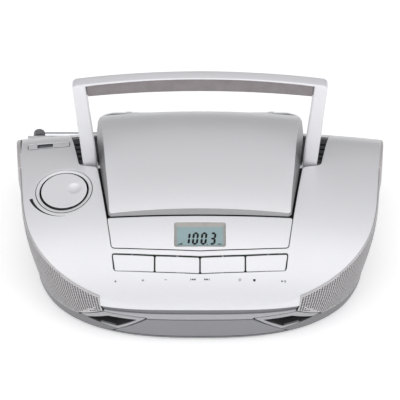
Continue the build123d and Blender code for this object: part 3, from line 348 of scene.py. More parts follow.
def piece(name, shape, material, body, slot, stands_for=(), crease=38, painted_shade_on_sides=None):
    """Puts points and faces into a mesh, in metres, leaves out unused points, and hangs the piece on its CAD body.
    Upright faces get the painted shade of the sides where there is one: a darker material that stands in for the shade
    on walls and bevels."""
    points, quads, corners = shape
    used, flat = np.unique(np.concatenate([quads.ravel(), corners.ravel()]), return_inverse=True)
    flat = flat.ravel()
    sizes = np.concatenate([np.full(len(quads), 4), np.full(len(corners), 3)])
    mesh = bpy.data.meshes.new(name)
    mesh.vertices.add(len(used))
    mesh.vertices.foreach_set("co", (points[used] * mm).ravel())
    mesh.loops.add(len(flat))
    mesh.loops.foreach_set("vertex_index", flat)
    mesh.polygons.add(len(sizes))
    mesh.polygons.foreach_set("loop_start", np.concatenate([[0], np.cumsum(sizes)[:-1]]))
    mesh.update(calc_edges=True)
    mesh.validate()
    mesh.shade_smooth()
    mesh.set_sharp_from_angle(angle=math.radians(crease))
    mesh.materials.append(material)
    # Painted shade: faces steeper than the threshold take the darker second material.
    if painted_shade_on_sides:
        mesh.materials.append(painted_shade_on_sides)
        facing = np.empty(len(mesh.polygons) * 3)
        mesh.polygons.foreach_get("normal", facing)
        mesh.polygons.foreach_set("material_index", (np.abs(facing[2::3]) < 0.65).astype(int))
    made = bpy.data.objects.new(name, mesh)
    bpy.context.scene.collection.objects.link(made)
    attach(made, body)
    if stands_for:
        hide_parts(*stands_for)


def both_pieces(name, shape, material, body, slot, stands_for, **more):
    """A piece and its mirror image. A pair of braces in a name stands for the side."""
    for side, turned in (("right", shape), ("left", mirrored(shape))):
        piece(name.format(side), turned, material, body, slot, (stands_for.format(side),), **more)


def surface(name, colour, dark, roughness, tint, sheen, relief, strength, height, metallic=0.0, draw=None):
    """A material with three noises over the object's own space: the tint goes between the two colours, the sheen
    between the two roughnesses, and the relief is a bump of that strength and height in metres."""
    material = bpy.data.materials.new(name)
    material.use_nodes = True
    tree = material.node_tree
    tree.nodes.clear()
    where = add_node(tree, "TexCoord").outputs["Object"]
    if draw:
        where = add_node(tree, "Mapping", None, {"Vector": where, "Scale": draw}).outputs["Vector"]
    tint, sheen, relief = [add_node(tree, "TexNoise", None, {"Vector": where, **noise}).outputs["Fac"]
                           for noise in (tint, sheen, relief)]
    spread = add_node(tree, "MapRange", None, {"Value": tint, "From Min": 0.3, "From Max": 0.7})
    shade = add_node(tree, "Mix", {"data_type": "RGBA"},
                     {0: spread.outputs["Result"], 6: linear(dark), 7: linear(colour)})
    gloss = add_node(tree, "MapRange", None, {"Value": sheen, "From Min": 0.3, "From Max": 0.7,
                                              "To Min": roughness[0], "To Max": roughness[1]})
    bump = add_node(tree, "Bump", None, {"Strength": strength, "Distance": height, "Height": relief})
    shader = add_node(tree, "BsdfPrincipled", None,
                      {"Base Color": shade.outputs[2], "Metallic": metallic, "Roughness": gloss.outputs["Result"],
                       "Normal": bump.outputs["Normal"]})
    add_node(tree, "OutputMaterial", None, {"Surface": shader.outputs["BSDF"]})
    return material


def metallic_lacquer(name, colour, fleck, metallic=0.35, roughness=0.42):
    """Sprayed lacquer with aluminium flake over ABS: a faint sparkle of lighter and darker flecks, a satin sheen that
    varies a little, and the low waves of sprayed paint. Real flakes are 0.05 mm, drawn coarser here to show."""
    return surface(name, colour, fleck, (roughness - 0.03, roughness + 0.03),
                   {"Scale": 1000 / 0.7, "Detail": 3.0, "Roughness": 0.7}, {"Scale": 22.0, "Detail": 2.0},
                   {"Scale": 1000 / 2.4, "Detail": 1.0}, 0.015, 0.0004, metallic)


silver = metallic_lacquer("silver_lacquer_on_abs", "#e3e3e5", "#dddde0")

# Painted shade: a dark grey lacquer on the upright walls of the panel, knob, collar and stick frame, standing in for
# the shadow in the seams round them.
painted_seam_shade = metallic_lacquer("painted_shade_on_seam_walls", "#48484b", "#3d3d40", metallic=0.1, roughness=0.6)

panel_low_half, panel_low_y, side_slope = 75.3, -72.0, 0.1537
opening_right = [(0, -75.6), (42, -73.9), (panel_low_half, panel_low_y), (88.1, 11.3), (103.8, 15.3), (114.3, 76),
                 (0, 76)]
key_row_right = [(0, -79.0), (38, -77.6), (75, -75.4), (73.3, -87), (38, -88.6), (0, -89.8)]
lip_half = 84.6
well_y, well_radius = 21, 65
well_turn = np.linspace(0, 2 * math.pi, 60, endpoint=False)
well_rim = on_top(np.stack([well_radius * np.cos(well_turn), well_y + well_radius * np.sin(well_turn)], 1))
opening = on_top(soft_corners(both_sides(opening_right), 2.5))
key_opening = on_top(soft_corners(both_sides(key_row_right), 2.0))
_, rim_x, rim_y, _ = crest_line(0.9)
behind_lip = rim_x > lip_half
lip_low_x = np.linspace(0, lip_half, 30)
lip_drop = crown_radius - np.sqrt(crown_radius ** 2 - lip_low_x ** 2)
lip_low_run = np.interp(41.3 + lip_drop, top_z[:400], top_run[:400])
start = np.argmax(behind_lip)
cover_right = np.concatenate([
    np.stack([lip_low_x, lip_low_run], 1),
    np.stack([rim_x[start:], run_at(rim_y[start:])], 1),
])
cover_outline = both_sides(cover_right)
knob_x, knob_y = -116.2, -14.0
knob_radius, collar_inner, collar_outer, collar_hole = 19.7, 21.1, 23.95, 24.5
stick_x, stick_y = -130.5, 45.7


def soft_box(u, v, half_u, half_v, radius):
    """Distance inside a rectangle with round corners, about the origin."""
    over_u, over_v = np.abs(u) - half_u + radius, np.abs(v) - half_v + radius
    return radius - np.hypot(over_u.clip(0), over_v.clip(0)) - np.minimum(np.maximum(over_u, over_v), 0)


def inside_cover(u, v):
    """How far a point of the top is from the cover's nearest edge."""
    gap = np.minimum(smooth_gap(u, v, cover_outline), -smooth_gap(u, v, opening))
    gap = np.minimum(gap, -smooth_gap(u, v, key_opening))
    gap = np.minimum(gap, -smooth_gap(u, v, well_rim))
    gap = np.minimum(gap, np.hypot(u - knob_x, v - run_at(knob_y)) - collar_hole)
    return np.minimum(gap, -soft_box(u - stick_x, v - run_at(stick_y), 18.3, 4.3, 1.9))


def cover_point(u, v, w=0.0):
    """A point of the crowned top at x = u, v mm along the middle line, w mm above it. At the lip the face is drawn in
    to the front wall, with a soft crease where the two meet."""
    reach = np.interp(v, top_run, top_z) - crest_z + crown_radius
    lean = np.arcsin(u / reach)
    ny, nz = -np.interp(v, top_run, top_slope_z), np.interp(v, top_run, top_slope_y)
    x = u + w * np.sin(lean) * nz
    y = np.interp(v, top_run, top_y) + w * ny
    z = crest_z - crown_radius + reach * np.cos(lean) + w * np.cos(lean) * nz
    front = np.polyval(hull_front, z)
    share = (np.abs(x) / np.polyval(hull_width, z)).clip(0, 1)
    bend = np.polyval(hull_bend, z)
    wall = -front * (1 - share ** bend) ** (1 / bend) - np.minimum(w, 0)
    low = np.where((y < -60) & (np.abs(u) < lip_half + 1), wall, -500)
    return x, 0.5 * (y + low + np.sqrt((y - low) ** 2 + 0.6)), z


piece("top_cover_shell", plate(inside_cover, (-154, 154, lip_low_run.min() - 3, run_at(105)), 1.7, cover_point,
                               0.45, 2.2), silver, "cabinet", "silver_abs", ("top_cover",))


# Display panel: a thin silver plate that snaps in between the disc lid and the keys, flush with the cover, with the
# window for the display cut in its middle.
window_y = -62.3
window_run = run_at(window_y)
window_half_u, window_half_v = 21.6, 10.97
panel_right = [(0, -45.8), (panel_low_half + side_slope * 26.2 - 0.4, -45.8), (panel_low_half - 0.4, -71.6),
               (42, -73.5), (0, -75.2)]
panel_outline = on_top(soft_corners(both_sides(panel_right), 2.2))


def inside_panel(u, v):
    """How far a point is from the panel's edge or from the window."""
    hole = soft_box(u, v - window_run, window_half_u, window_half_v, 1.2)
    return np.minimum(smooth_gap(u, v, panel_outline), -hole)


# The display panel's upright walls are painted shade, dark grey for the shadow in its seam.
piece("display_panel_plate", plate(inside_panel, (-80, 80, run_at(-76), run_at(-45)), 1.1, cover_point, 0.35, 2.0),
      silver, "cabinet", "silver_abs", ("display_panel",), painted_shade_on_sides=painted_seam_shade)


# Display window: a clear acrylic lens with a grey printed surround that slopes down to it, widest at the top, and a
# grey-green reflective liquid crystal behind it whose dark segments show a frequency.
window_z = top_height(0.0, window_y)
window_normal = np.array((0, -0.4112, 0.9115))
window_up = np.array((0, 0.9115, 0.4112))


def window_point(u, v, w):
    """A point of the window's plane, u across, v up the slope and w out of it, with the surround's slopes."""
    fall = np.minimum(np.minimum((window_half_u - np.abs(u)) / 2.0, (v + window_half_v) / 1.0),
                      (window_half_v - v) / 3.9).clip(0, 1)
    w = w - 0.25 - 1.3 * fall
    return u, window_y + v * window_up[1] + w * window_normal[1], window_z + v * window_up[2] + w * window_normal[2]


def inside_lens(u, v):
    """Distance inside the lens's clear part."""
    return soft_box(u, v + 1.45, window_half_u - 1.9, window_half_v - 2.4, 0.9)


def inside_surround(u, v):
    """Distance inside the ring between the window opening and the clear part."""
    return np.minimum(soft_box(u, v, window_half_u - 0.15, window_half_v - 0.15, 1.1), -inside_lens(u, v))


def moulded_abs(name, colour, dark, roughness=0.45, grain_mm=0.9, grain=0.06, mottle_mm=9.0):
    """Self-coloured ABS from a spark-eroded mould: an even colour with very slight flow clouds, a satin face with
    fine grain of about 0.1 mm, drawn coarser here so that it shows."""
    cloud = {"Scale": 1000 / mottle_mm, "Detail": 4.0, "Roughness": 0.6}
    return surface(name, colour, dark, (roughness - 0.04, roughness + 0.04), cloud, cloud,
                   {"Scale": 1000 / grain_mm, "Detail": 2.0}, grain, 0.0003)


surround_print = moulded_abs("grey_printed_acrylic", "#a5a39f", "#a09e9a", roughness=0.3, grain=0.02)
lens_acrylic = moulded_abs("display_behind_clear_acrylic", "#8da4a7", "#88a0a3", roughness=0.16, grain=0.01)
segment_ink = moulded_abs("display_segment", "#05080b", "#030507", roughness=0.85, grain=0.01)
piece("window_surround", plate(inside_surround, (-22, 22, -11.2, 11.2), 0.45, window_point, 0.0, 0.8),
      surround_print, "cabinet", "clear_window", ("lcd_window",), crease=20)
piece("window_lens", plate(inside_lens, (-21, 21, -11, 8), 0.7, window_point, 0.0, 1.2),
      lens_acrylic, "cabinet", "clear_window", ("lcd_window",))


def bars(outlines, place, lift, thickness):
    """Thin printed shapes: each outline is a fan of points at the lift, with a narrow wall down to the face."""
    points, quads, corners = [], [], []
    count = 0
    for outline in outlines:
        outline = np.asarray(outline, float)
        n = len(outline)
        for w in (lift + thickness, lift):
            points.append(np.stack(place(outline[:, 0], outline[:, 1], np.full(n, w)), 1))
        ring = np.arange(n)
        corners.append(np.stack([np.full(n - 2, count), count + ring[1:-1], count + ring[2:]], 1))
        after = (ring + 1) % n
        quads.append(np.stack([count + after, count + ring, count + n + ring, count + n + after], 1))
        count += 2 * n
    return np.concatenate(points), np.concatenate(quads), np.concatenate(corners)


def digit_segments(left, bottom, width, height, lit):
    """The lit strokes of a seven-segment figure, each a six-sided bar, leaning six degrees to the right."""
    thick, gap = 1.85, 0.1
    middle = height / 2
    runs = {"a": (0, height, 1, height), "g": (0, middle, 1, middle), "d": (0, 0, 1, 0),
            "f": (0, middle, 0, height), "e": (0, 0, 0, middle), "b": (1, middle, 1, height), "c": (1, 0, 1, middle)}
    shapes = []
    for key in lit:
        x0, y0, x1, y1 = runs[key]
        span_u, span_v = (x1 - x0) * (width - thick), (y1 - y0) * (height - thick) / height
        start_u = left + thick / 2 + x0 * (width - thick)
        start_v = bottom + thick / 2 + y0 * (height - thick) / height
        length = math.hypot(span_u, span_v)
        along, across = np.array((span_u, span_v)) / length, np.array((-span_v, span_u)) / length
        start = np.array((start_u, start_v)) + gap * along
        end = np.array((start_u + span_u, start_v + span_v)) - gap * along
        half = thick / 2
        shape = np.array([start, start + half * (along - across), end - half * (along + across), end,
                          end + half * (across - along), start + half * (along + across)])
        shape[:, 0] += (shape[:, 1] - bottom) * math.tan(math.radians(6))
        shapes.append(shape)
    return shapes


figure_low, figure_height = -9.3, 11.6
figures = digit_segments(-13.9, figure_low, 5.0, figure_height, "bc")
for left, lit in ((-7.2, "abcdef"), (0.0, "abcdef"), (7.6, "abcdg")):
    figures += digit_segments(left, figure_low, 5.3, figure_height, lit)
figures.append([(5.9, figure_low), (6.7, figure_low), (6.7, figure_low + 0.9), (5.9, figure_low + 0.9)])
for k in range(3):
    figures.append([(-18.6 + 1.4 * k, figure_low), (-17.7 + 1.4 * k, figure_low),
                    (-17.7 + 1.4 * k, figure_low + 0.9 + 0.5 * k), (-18.6 + 1.4 * k, figure_low + 0.9 + 0.5 * k)])
    figures.append([(14.9 + 1.2 * k, figure_low), (15.6 + 1.2 * k, figure_low),
                    (15.6 + 1.2 * k, figure_low + 1.3), (14.9 + 1.2 * k, figure_low + 1.3)])
piece("display_figures", bars(figures, window_point, 0.01, 0.05), segment_ink, "cabinet", "clear_window")


# Keys: four long silver rockers in one row, moulded like the cover, with a dark gap round each. Symbols for what
# each end does are pad-printed in near black on the cover below them.
key_split = 38.4
key_corner = 0.9
key_outline = on_top([(-75, -76.5), (-38, -78.7), (0, -80.1), (38, -78.7), (75, -76.5),
                      (75, -86.7), (38, -88.25), (0, -89.4), (-38, -88.25), (-75, -86.7)])
key_ends = (-75, -key_split, 0, key_split, 75)
for number, word in enumerate(("one", "two", "three", "four")):
    low, high = key_ends[number:number + 2]

    def inside_key(u, v, left_line=low + 0.6, right_line=high - 0.6):
        """Distance inside the row's outline and between this key's two ends, which lean in at the row's ends."""
        lean = (run_at(-76.5) - v) * 0.147 + 0.4
        left_gap = u - left_line - (lean if left_line < -60 else 0)
        right_gap = right_line - u - (lean if right_line > 60 else 0)
        row_gap, side = smooth_gap(u, v, key_outline), np.minimum(left_gap, right_gap)
        over = np.hypot((key_corner - row_gap).clip(0), (key_corner - side).clip(0))
        return np.where((row_gap < key_corner) & (side < key_corner), key_corner - over, np.minimum(row_gap, side))

    cap = plate(inside_key, (low, high, run_at(-90.5), run_at(-76)), 0.7, cover_point, 0.45, 3.0)
    piece(f"key_cap_{number + 1}", cap, silver, f"key_{word}", "silver_abs", (f"key_{number + 1}",))

print_ink = moulded_abs("dark_grey_pad_print", "#1c1c1f", "#151517", roughness=0.7, grain=0.01)
mark_run = run_at(-92.6)


def arrow(u, way):
    """A small filled arrowhead that points left or right."""
    return [(u - way * 0.95, mark_run - 0.95), (u + way * 0.95, mark_run), (u - way * 0.95, mark_run + 0.95)][::way]


def bar(u, half_u, half_v=0.95, v=None):
    """A small filled rectangle."""
    v = mark_run if v is None else v
    return [(u - half_u, v - half_v), (u + half_u, v - half_v), (u + half_u, v + half_v), (u - half_u, v + half_v)]


marks = [bar(-8.0, 0.2), arrow(-6.6, -1), arrow(-4.7, -1), arrow(4.5, 1), arrow(6.4, 1), bar(7.8, 0.2)]
marks += [bar(46.0, 1.0, 1.0), arrow(69.8, 1), bar(71.6, 0.22), bar(72.5, 0.22)]
marks += [bar(-71.5, 1.1, 0.2), bar(-71.5, 0.2, 1.1), bar(-48.3, 1.1, 0.2), bar(-48.3, 0.2, 1.1), bar(-29.0, 1.1, 0.2)]
for k in range(16):
    a, b = k * math.pi / 8, (k + 1) * math.pi / 8
    for outer, inner in ((1.15, 0.85), (0.3, 0.05)):
        marks.append([(33.7 + r * math.cos(t), mark_run + r * math.sin(t))
                      for r, t in ((outer, a), (outer, b), (inner, b), (inner, a))])
piece("key_marks", bars(marks, cover_point, 0.0, 0.05), print_ink, "cabinet", "silver_abs")


# Volume knob: a flat silver disc set a little below a sloping silver collar, with a finger dimple near its edge.
# It turns on the control under it. A printed wedge beside the collar grows the way the sound does.
bright_silver = metallic_lacquer("bright_silver_lacquer_on_abs", "#e9e9eb", "#e4e4e7")
knob_origin = np.array((knob_x, knob_y, 96.925))
knob_normal = np.array((-0.097121, -0.116349, 0.988448))
knob_across = np.array((0.995193, 0.0, 0.097782))
knob_across /= np.linalg.norm(knob_across)
knob_up = np.cross(knob_normal, knob_across)


def knob_point(u, v, w):
    """A point of the knob's face, set 0.7 mm below the cover, with the dimple as a shallow round bowl."""
    bowl = (1 - ((u - 9) ** 2 + (v - 2) ** 2) / 5.8 ** 2).clip(0) ** 0.8
    spot = knob_origin + u[:, None] * knob_across + v[:, None] * knob_up + (w - 0.7 - 1.5 * bowl)[:, None] * knob_normal
    return spot[:, 0], spot[:, 1], spot[:, 2]


def collar_point(u, v, w):
    """A point of the collar, which follows the cover at its outer edge and slopes down towards the knob."""
    away = np.hypot(u - knob_x, v - run_at(knob_y))
    return cover_point(u, v, w - 1.0 * ((23.9 - away) / 3.0).clip(0, 1))


# The side walls of the knob and of the collar are painted shade, dark grey for the shadow in the gap between them.
piece("volume_knob_cap", plate(lambda u, v: knob_radius - np.hypot(u, v), (-20.5, 20.5, -20.5, 20.5), 0.75, knob_point,
                               0.35, 8.5), bright_silver, "knob", "silver_abs", ("volume_knob",), painted_shade_on_sides=painted_seam_shade)
piece("knob_collar_ring",
      plate(lambda u, v: np.minimum(collar_outer - np.hypot(u - knob_x, v - run_at(knob_y)),
                                    np.hypot(u - knob_x, v - run_at(knob_y)) - collar_inner),
            (knob_x - 25, knob_x + 25, run_at(knob_y) - 25, run_at(knob_y) + 25), 0.75, collar_point, 0.35, 8.0),
      bright_silver, "cabinet", "silver_abs", ("knob_collar",), painted_shade_on_sides=painted_seam_shade)
wedge = []
for k in range(20):
    a, b = math.radians(194 + 4 * k), math.radians(198 + 4 * k)
    wide = [2.7 * (1 - s / 20) ** 1.5 + 0.14 for s in (k, k + 1)]
    wedge.append([(knob_x + r * math.cos(t), run_at(knob_y) + r * math.sin(t))
                  for r, t in ((27.6, a), (27.6 + wide[0], a), (27.6 + wide[1] - 0.02, b), (27.6, b))])
piece("volume_wedge", bars(wedge, cover_point, 0.0, 0.05), print_ink, "cabinet", "silver_abs")


# Disc lid: a crowned silver shell with a flat bevel down to its edge, hinged at the rear on two arms. It is
# moulded and lacquered like the cover, and a liner under it carries the clamp for the disc.
lid_y, lid_z, _ = smooth_line([(-60, 94), (-44, 102.2), (-25, 108.5), (0, 114), (25, 117), (45, 117),
                               (60, 114.2), (73, 109), (86, 99), (98, 84)])
lid_outline = soft_corners(both_sides([(0, -45), (77.6, -45), (84, -1), (86, 17.5), (88.4, 44), (89.4, 60), (88.6, 75),
                                       (84, 83), (76, 86), (0, 86)]), 1.6)
lid_taper = math.tan(math.radians(9))
lid_crest_z, lid_crown_radius, lid_edge_z = 117, 714, 98.0
lid_hinge_y, lid_hinge_z = 88, 92


def lid_height(x, y):
    """Height of the lid's top: its middle line turned about an axis far under its crest."""
    reach = np.interp(y, lid_y, lid_z) - lid_crest_z + lid_crown_radius
    return lid_crest_z - lid_crown_radius + np.sqrt(reach ** 2 - x ** 2)


def lid_edge(x, y):
    """Height of the lid's lower edge: it follows the cover in front and is level over the deck and at the rear."""
    return np.where(y < 30, np.minimum(lid_edge_z, top_height(x, y) + 0.5), lid_edge_z)


lid_roll, lid_wall = 0.5, 1.5


def inside_lid(u, v):
    """Distance inside the top face, whose edge is set in by the taper of the bevel below it."""
    return smooth_gap(u, v, lid_outline) - lid_taper * 1.6 * (lid_height(u, v) - lid_edge_z).clip(0) - lid_roll


def lid_point(u, v, w):
    return u, v, lid_height(u, v) + w


def lid_ring(out):
    """A ring at the lid's lower edge, out mm outside its outline."""
    def place(a, b, ou, ov):
        reach = out + smooth_gap(a, b, lid_outline) - 0.02
        x, y = a + ou * reach, b + ov * reach
        return x, y, lid_edge(x, y)
    return place


lid_rings = [
    lambda a, b, ou, ov, t=t: (a + ou * lid_roll * math.sin(t), b + ov * lid_roll * math.sin(t),
                               lid_height(a, b) - lid_roll * (1 - math.cos(t))) for t in np.radians((30, 60, 85))
] + [
    lid_ring(0), lid_ring(-lid_wall),
    lambda a, b, ou, ov: (a - ou * (lid_wall - lid_roll), b - ov * (lid_wall - lid_roll), lid_height(a, b) - 2.0),
]
lid_body = plate(inside_lid, (-91, 91, -46, 87), 1.5, lid_point, lid_roll, 2.0, lid_rings)
# Painted shade and painted reflection: the bevel and walls of the lid are the top's silver lacquer, drawn darker grey
# to stand in for the dim room the bevel reflects.
bevel_painted_shade = metallic_lacquer("lacquer_darkened_as_painted_shade_on_bevel", "#a8a8aa", "#9f9fa1", metallic=0.4, roughness=0.4)
piece("disc_lid_shell", lid_body, silver, "lid", "silver_abs", ("cd_lid",), crease=30, painted_shade_on_sides=bevel_painted_shade)
arm_outline = soft_corners([(75, 97.5), (83.4, 95.6), (84.8, 89.6), (88, 88), (91.2, 89.6), (92, 92), (90, 94.8),
                            (84.5, 98.4), (75, 100)], 1.2)


def inside_arm(u, v):
    """Distance inside a hinge arm seen from the side, outside its bore."""
    return np.minimum(smooth_gap(u, v, arm_outline), np.hypot(u - lid_hinge_y, v - lid_hinge_z) - 1.6)


arm = plate(inside_arm, (75, 93, 87, 106), 0.5, lambda u, v, w: (59.2 + w, u, v), 0.3, 5.0)
both_pieces("lid_arm_{}", arm, silver, "lid", "silver_abs", "cd_lid")


# Handle: a silver frame of two tapering arms and a thin lip over the top, moulded in ABS, with the dark grey soft
# grip set in under the lip. It pivots on two steel pins low in its channels and folds back.
def arc(low, high, count=40):
    """Points on the circle arc from (-x, z) to (x, z) that passes over (0, z1)."""
    half, rise = low[0], high - low[1]
    radius = (half ** 2 + rise ** 2) / (2 * rise)
    x = np.linspace(half, -half, count)
    return np.stack([x, high - radius + np.sqrt(radius ** 2 - x ** 2)], 1)


def carried_profile(inner, outer, front, rear, radius, count=4):
    """A closed band: at each station a rectangle with round corners from the inner to the outer point, between the
    depths front and rear. Each corner is a quarter circle, no larger than the band is thick."""
    inner, outer = np.asarray(inner, float), np.asarray(outer, float)
    across = outer - inner
    thick = np.hypot(*across.T)[:, None]
    across /= thick
    small = np.minimum(radius, 0.42 * thick)
    rings = []
    for side, depth, first in ((1, rear, 0), (-1, rear, 90), (-1, front, 180), (1, front, 270)):
        turn = np.radians(first + np.linspace(0, 90, count))
        reach = (thick / 2 if side > 0 else -thick / 2) + small * (np.cos(turn)[None] - side)
        middle = (inner + outer) / 2
        spot = middle[:, None] + reach[..., None] * across[:, None]
        y = depth + small * (np.sin(turn)[None] - (1 if depth == rear else -1))
        rings.append(np.stack([spot[..., 0], y, spot[..., 1]], -1))
    points = np.concatenate(rings, 1)
    stations, loop = points.shape[:2]
    number = np.arange(stations * loop).reshape(stations, loop)
    here, after = number[:-1], np.roll(number[:-1], -1, axis=1)
    quads = np.stack([here, number[1:], np.roll(number[1:], -1, axis=1), after], -1).reshape(-1, 4)
    fan = np.arange(1, loop - 1)
    ends = [np.stack([np.zeros(loop - 2, int), fan, fan + 1], 1),
            (stations - 1) * loop + np.stack([np.zeros(loop - 2, int), fan + 1, fan], 1)]
    return points.reshape(-1, 3), quads, np.concatenate(ends)


pivot_y, pivot_z = 20.5, 92
arm_low, arm_high, lip_corner = 90.5, 182.5, (96.92, 187.6)
arm_rise = np.linspace(arm_low, arm_high, 16)
arm_inner = np.stack([87.6 + 0.09598 * (arm_rise - arm_low), arm_rise], 1)
arm_outer = np.stack([99.6 + 0.0915 * (arm_rise - arm_low), arm_rise], 1)
bend = np.linspace(0.12, 1, 7)[:, None]
corner_inner = arm_inner[-1] + (np.array(lip_corner) - arm_inner[-1]) * bend
corner_outer = np.array([(108.1, 183.9), (108.15, 185.2), (107.95, 186.4), (107.45, 187.3), (106.7, 188.0),
                         (105.6, 188.6), (104.2, 188.9)])
half_inner = np.concatenate([arm_inner, corner_inner, arc(lip_corner, 195.6)[1:20]])
half_outer = np.concatenate([arm_outer, corner_outer, arc((104.2, 188.9), 197.0)[1:20]])
frame_bow = carried_profile(np.concatenate([half_inner, (half_inner * (-1, 1))[::-1]]),
                            np.concatenate([half_outer, (half_outer * (-1, 1))[::-1]]), 15.5, 25.5, 1.4)
piece("handle_frame_bow", frame_bow, bright_silver, "handle", "silver_abs", ("handle_frame",))
boss = plate(lambda u, v: 4.95 - np.hypot(u - pivot_y, v - pivot_z), (15, 26, 86, 98), 0.5,
             lambda u, v, w: (99.7 + w, u, v), 0.4, 12.0)
both_pieces("handle_boss_{}", boss, bright_silver, "handle", "silver_abs", "handle_frame")
grip_outline = np.concatenate([arc((96.75, 187.5), 195.5), arc((95.5, 174.6), 180.6)[::-1]])
grip_abs = moulded_abs("taupe_soft_touch_grip", "#8b8586", "#7e7879", roughness=0.55, grain=0.12)
grip = plate(within(grip_outline), (-98, 98, 173, 197), 0.9, lambda u, v, w: (u, 17.5 - w, v), 1.1, 7.6)
piece("handle_grip_bar", grip, grip_abs, "handle", "grey_abs", ("handle_grip",))


# Grilles: steel sheet with rows of staggered round holes, painted silver, bent round the front corners between the
# top cover's edge and the side caps, with dark cloth behind the holes.
crest_u, _, _, crest_z_side = crest_line(0.0)


def top_of_wall(u):
    return np.interp(np.abs(u), crest_u, crest_z_side)


def side_point(u, v, w):
    """A point of the side walls; close under the top it rises inwards with the top's own slope."""
    x0, y0, _ = wall_point(u, v)
    x, y, z = wall_point(u, v, w)
    near = ((v - top_of_wall(u) + 1.5) / 1.5).clip(0, 1)
    return x, y, z + near * (top_height(x, y) - top_height(x0, y0))


def wall_level(z):
    """The number of the table's level nearest to that height."""
    return int(round((z - wall_levels[0]) / (wall_levels[1] - wall_levels[0])))


def round_from_front(x, z):
    """How far round the wall a point with that x lies, at height z, on the front half."""
    return np.interp(x, wall_x[wall_level(z)][:quarter_points], wall_run[:quarter_points])


def round_to_depth(y, z):
    """How far round the wall a point with that y lies, at height z."""
    return np.interp(y, wall_y[wall_level(z)], wall_run)


def front_outline(corners, longest=3.0):
    """An outline of (x, z) corners of the front as (length round the wall, z), with its long runs divided."""
    dense = []
    for start, end in zip(corners, corners[1:] + corners[:1]):
        steps = max(1, int(math.dist(start, end) / longest))
        for k in range(steps):
            x, z = (start[i] + (end[i] - start[i]) * k / steps for i in (0, 1))
            dense.append((math.copysign(round_from_front(abs(x), z), x), z))
    return np.array(dense)


grille_end = round_to_depth(17.0, 55)
grille_start = round_from_front(84.9, 45)
over = (crest_u > round_from_front(84.9, 52)) & (crest_u < grille_end)
grille_outline = np.concatenate([
    front_outline([(84.9, 41), (82.9, 34.1), (102.4, 20.9)])[:-1],
    [(u, 18.2) for u in np.linspace(round_from_front(104.5, 18), round_to_depth(17.0, 18), 30)],
    [(round_to_depth(17.0, z), z) for z in np.linspace(20, 90, 20)],
    np.stack([crest_u[over], crest_z_side[over]], 1)[::-1],
])
grille_outline = grille_outline[(grille_outline[:, 1] < top_of_wall(grille_outline[:, 0]) + 0.01)]
column, row, hole_radius = 2.3, 2.0, 0.85


def inside_grille(u, v):
    """Distance to the grille's edge or to the nearest hole. Holes stand in columns, every second one half a row up."""
    edge = smooth_gap(u, v, grille_outline)
    gap = edge
    for shift in (0, 1):
        cu = np.round((u - shift * column) / (2 * column)) * 2 * column + shift * column
        cv = np.round((v - shift * row / 2) / row) * row + shift * row / 2
        whole = smooth_gap(cu, cv, grille_outline) > 0.98
        hole = np.hypot(u - cu, v - cv) - hole_radius
        gap = np.where(whole, np.minimum(gap, hole), gap)
    return gap


grille_steel = metallic_lacquer("silver_painted_perforated_steel", "#bdbbbc", "#b6b4b5", metallic=0.4, roughness=0.42)
speaker_cloth = moulded_abs("black_speaker_cloth", "#161617", "#101011", roughness=0.95, grain=0.4, grain_mm=0.7)
grille_box = (grille_start - 8, grille_end + 2, 17, 100)
grille = plate(inside_grille, grille_box, 0.37, side_point, 0.0, 0.8)
cloth = plate(lambda u, v: smooth_gap(u, v, grille_outline) - 1.2, grille_box, 2.5,
              lambda u, v, w: wall_point(u, v, w - 1.5), 0.0, 0.4)
both_pieces("{}_grille_mesh", grille, grille_steel, "cabinet", "grille_steel", "{}_grille")
both_pieces("{}_grille_cloth", cloth, speaker_cloth, "cabinet", "grille_steel", "{}_grille")


# Side caps: smooth warm grey covers over the ends of the cabinet, moulded in ABS and clipped on, standing a little
# proud of the walls with a rounded edge.
cap_abs = metallic_lacquer("warm_grey_lacquer_on_abs", "#cfcbca", "#c4c0bf", metallic=0.35, roughness=0.42)
cap_levels = np.linspace(15.0, 100, 30)
in_cap = (crest_u > round_to_depth(17.4, 92)) & (crest_u < round_to_depth(87.9, 85))
cap_outline = np.concatenate([
    [(round_to_depth(17.5, z), z) for z in cap_levels if z < 92],
    np.stack([crest_u[in_cap], crest_z_side[in_cap] - 0.25], 1),
    [(round_to_depth(87.8, z), z) for z in cap_levels[::-1] if z < 74],
])


def cap_point(u, v, w):
    return side_point(u, v, w + 1.3)


cap = plate(within(cap_outline), (grille_end - 3, round_to_depth(90, 50) + 3, 14, 101), 1.2, cap_point, 0.9, 3.4)
both_pieces("{}_cap_shell", cap, cap_abs, "cabinet", "cap_abs", "{}_side_cap")


# Front of the base: a light trim band under the lip, the grey curved panel below it, drawn darker still as painted
# shade, and at each side the mouth of a bass port in a thin light frame, its duct running back in dark plastic.
trim_right = [(0.0, 29.2), (44.6, 29.2), (45.8, 30.6), (81.8, 33.5), (82.2, 36.0), (0.0, 36.0)]
belly_right = [(0.0, 5.6), (74.8, 5.6), (69.3, 10.0), (45.1, 28.4), (0.0, 28.4)]
port_frame_corners = [(102.0, 20.0), (82.0, 33.0), (45.8, 30.0), (70.0, 10.0)]
port_mouth = [(98.0, 17.5), (78.3, 28.0), (53.5, 27.0), (70.7, 14.0)]
# Partly painted shade: the belly is a real grey panel, and its colour is drawn darker for the shade on its
# downward-facing front.
belly_lacquer_with_painted_shade = metallic_lacquer("mid_grey_lacquer_with_painted_shade", "#8a8a8e", "#838387", metallic=0.2, roughness=0.5)
duct_abs = moulded_abs("charcoal_duct_abs", "#4a4a4e", "#3e3e42", roughness=0.5)


def whole_front(right):
    right = [tuple(corner) for corner in right]
    return front_outline(right + [(-x, z) for x, z in right[::-1]])


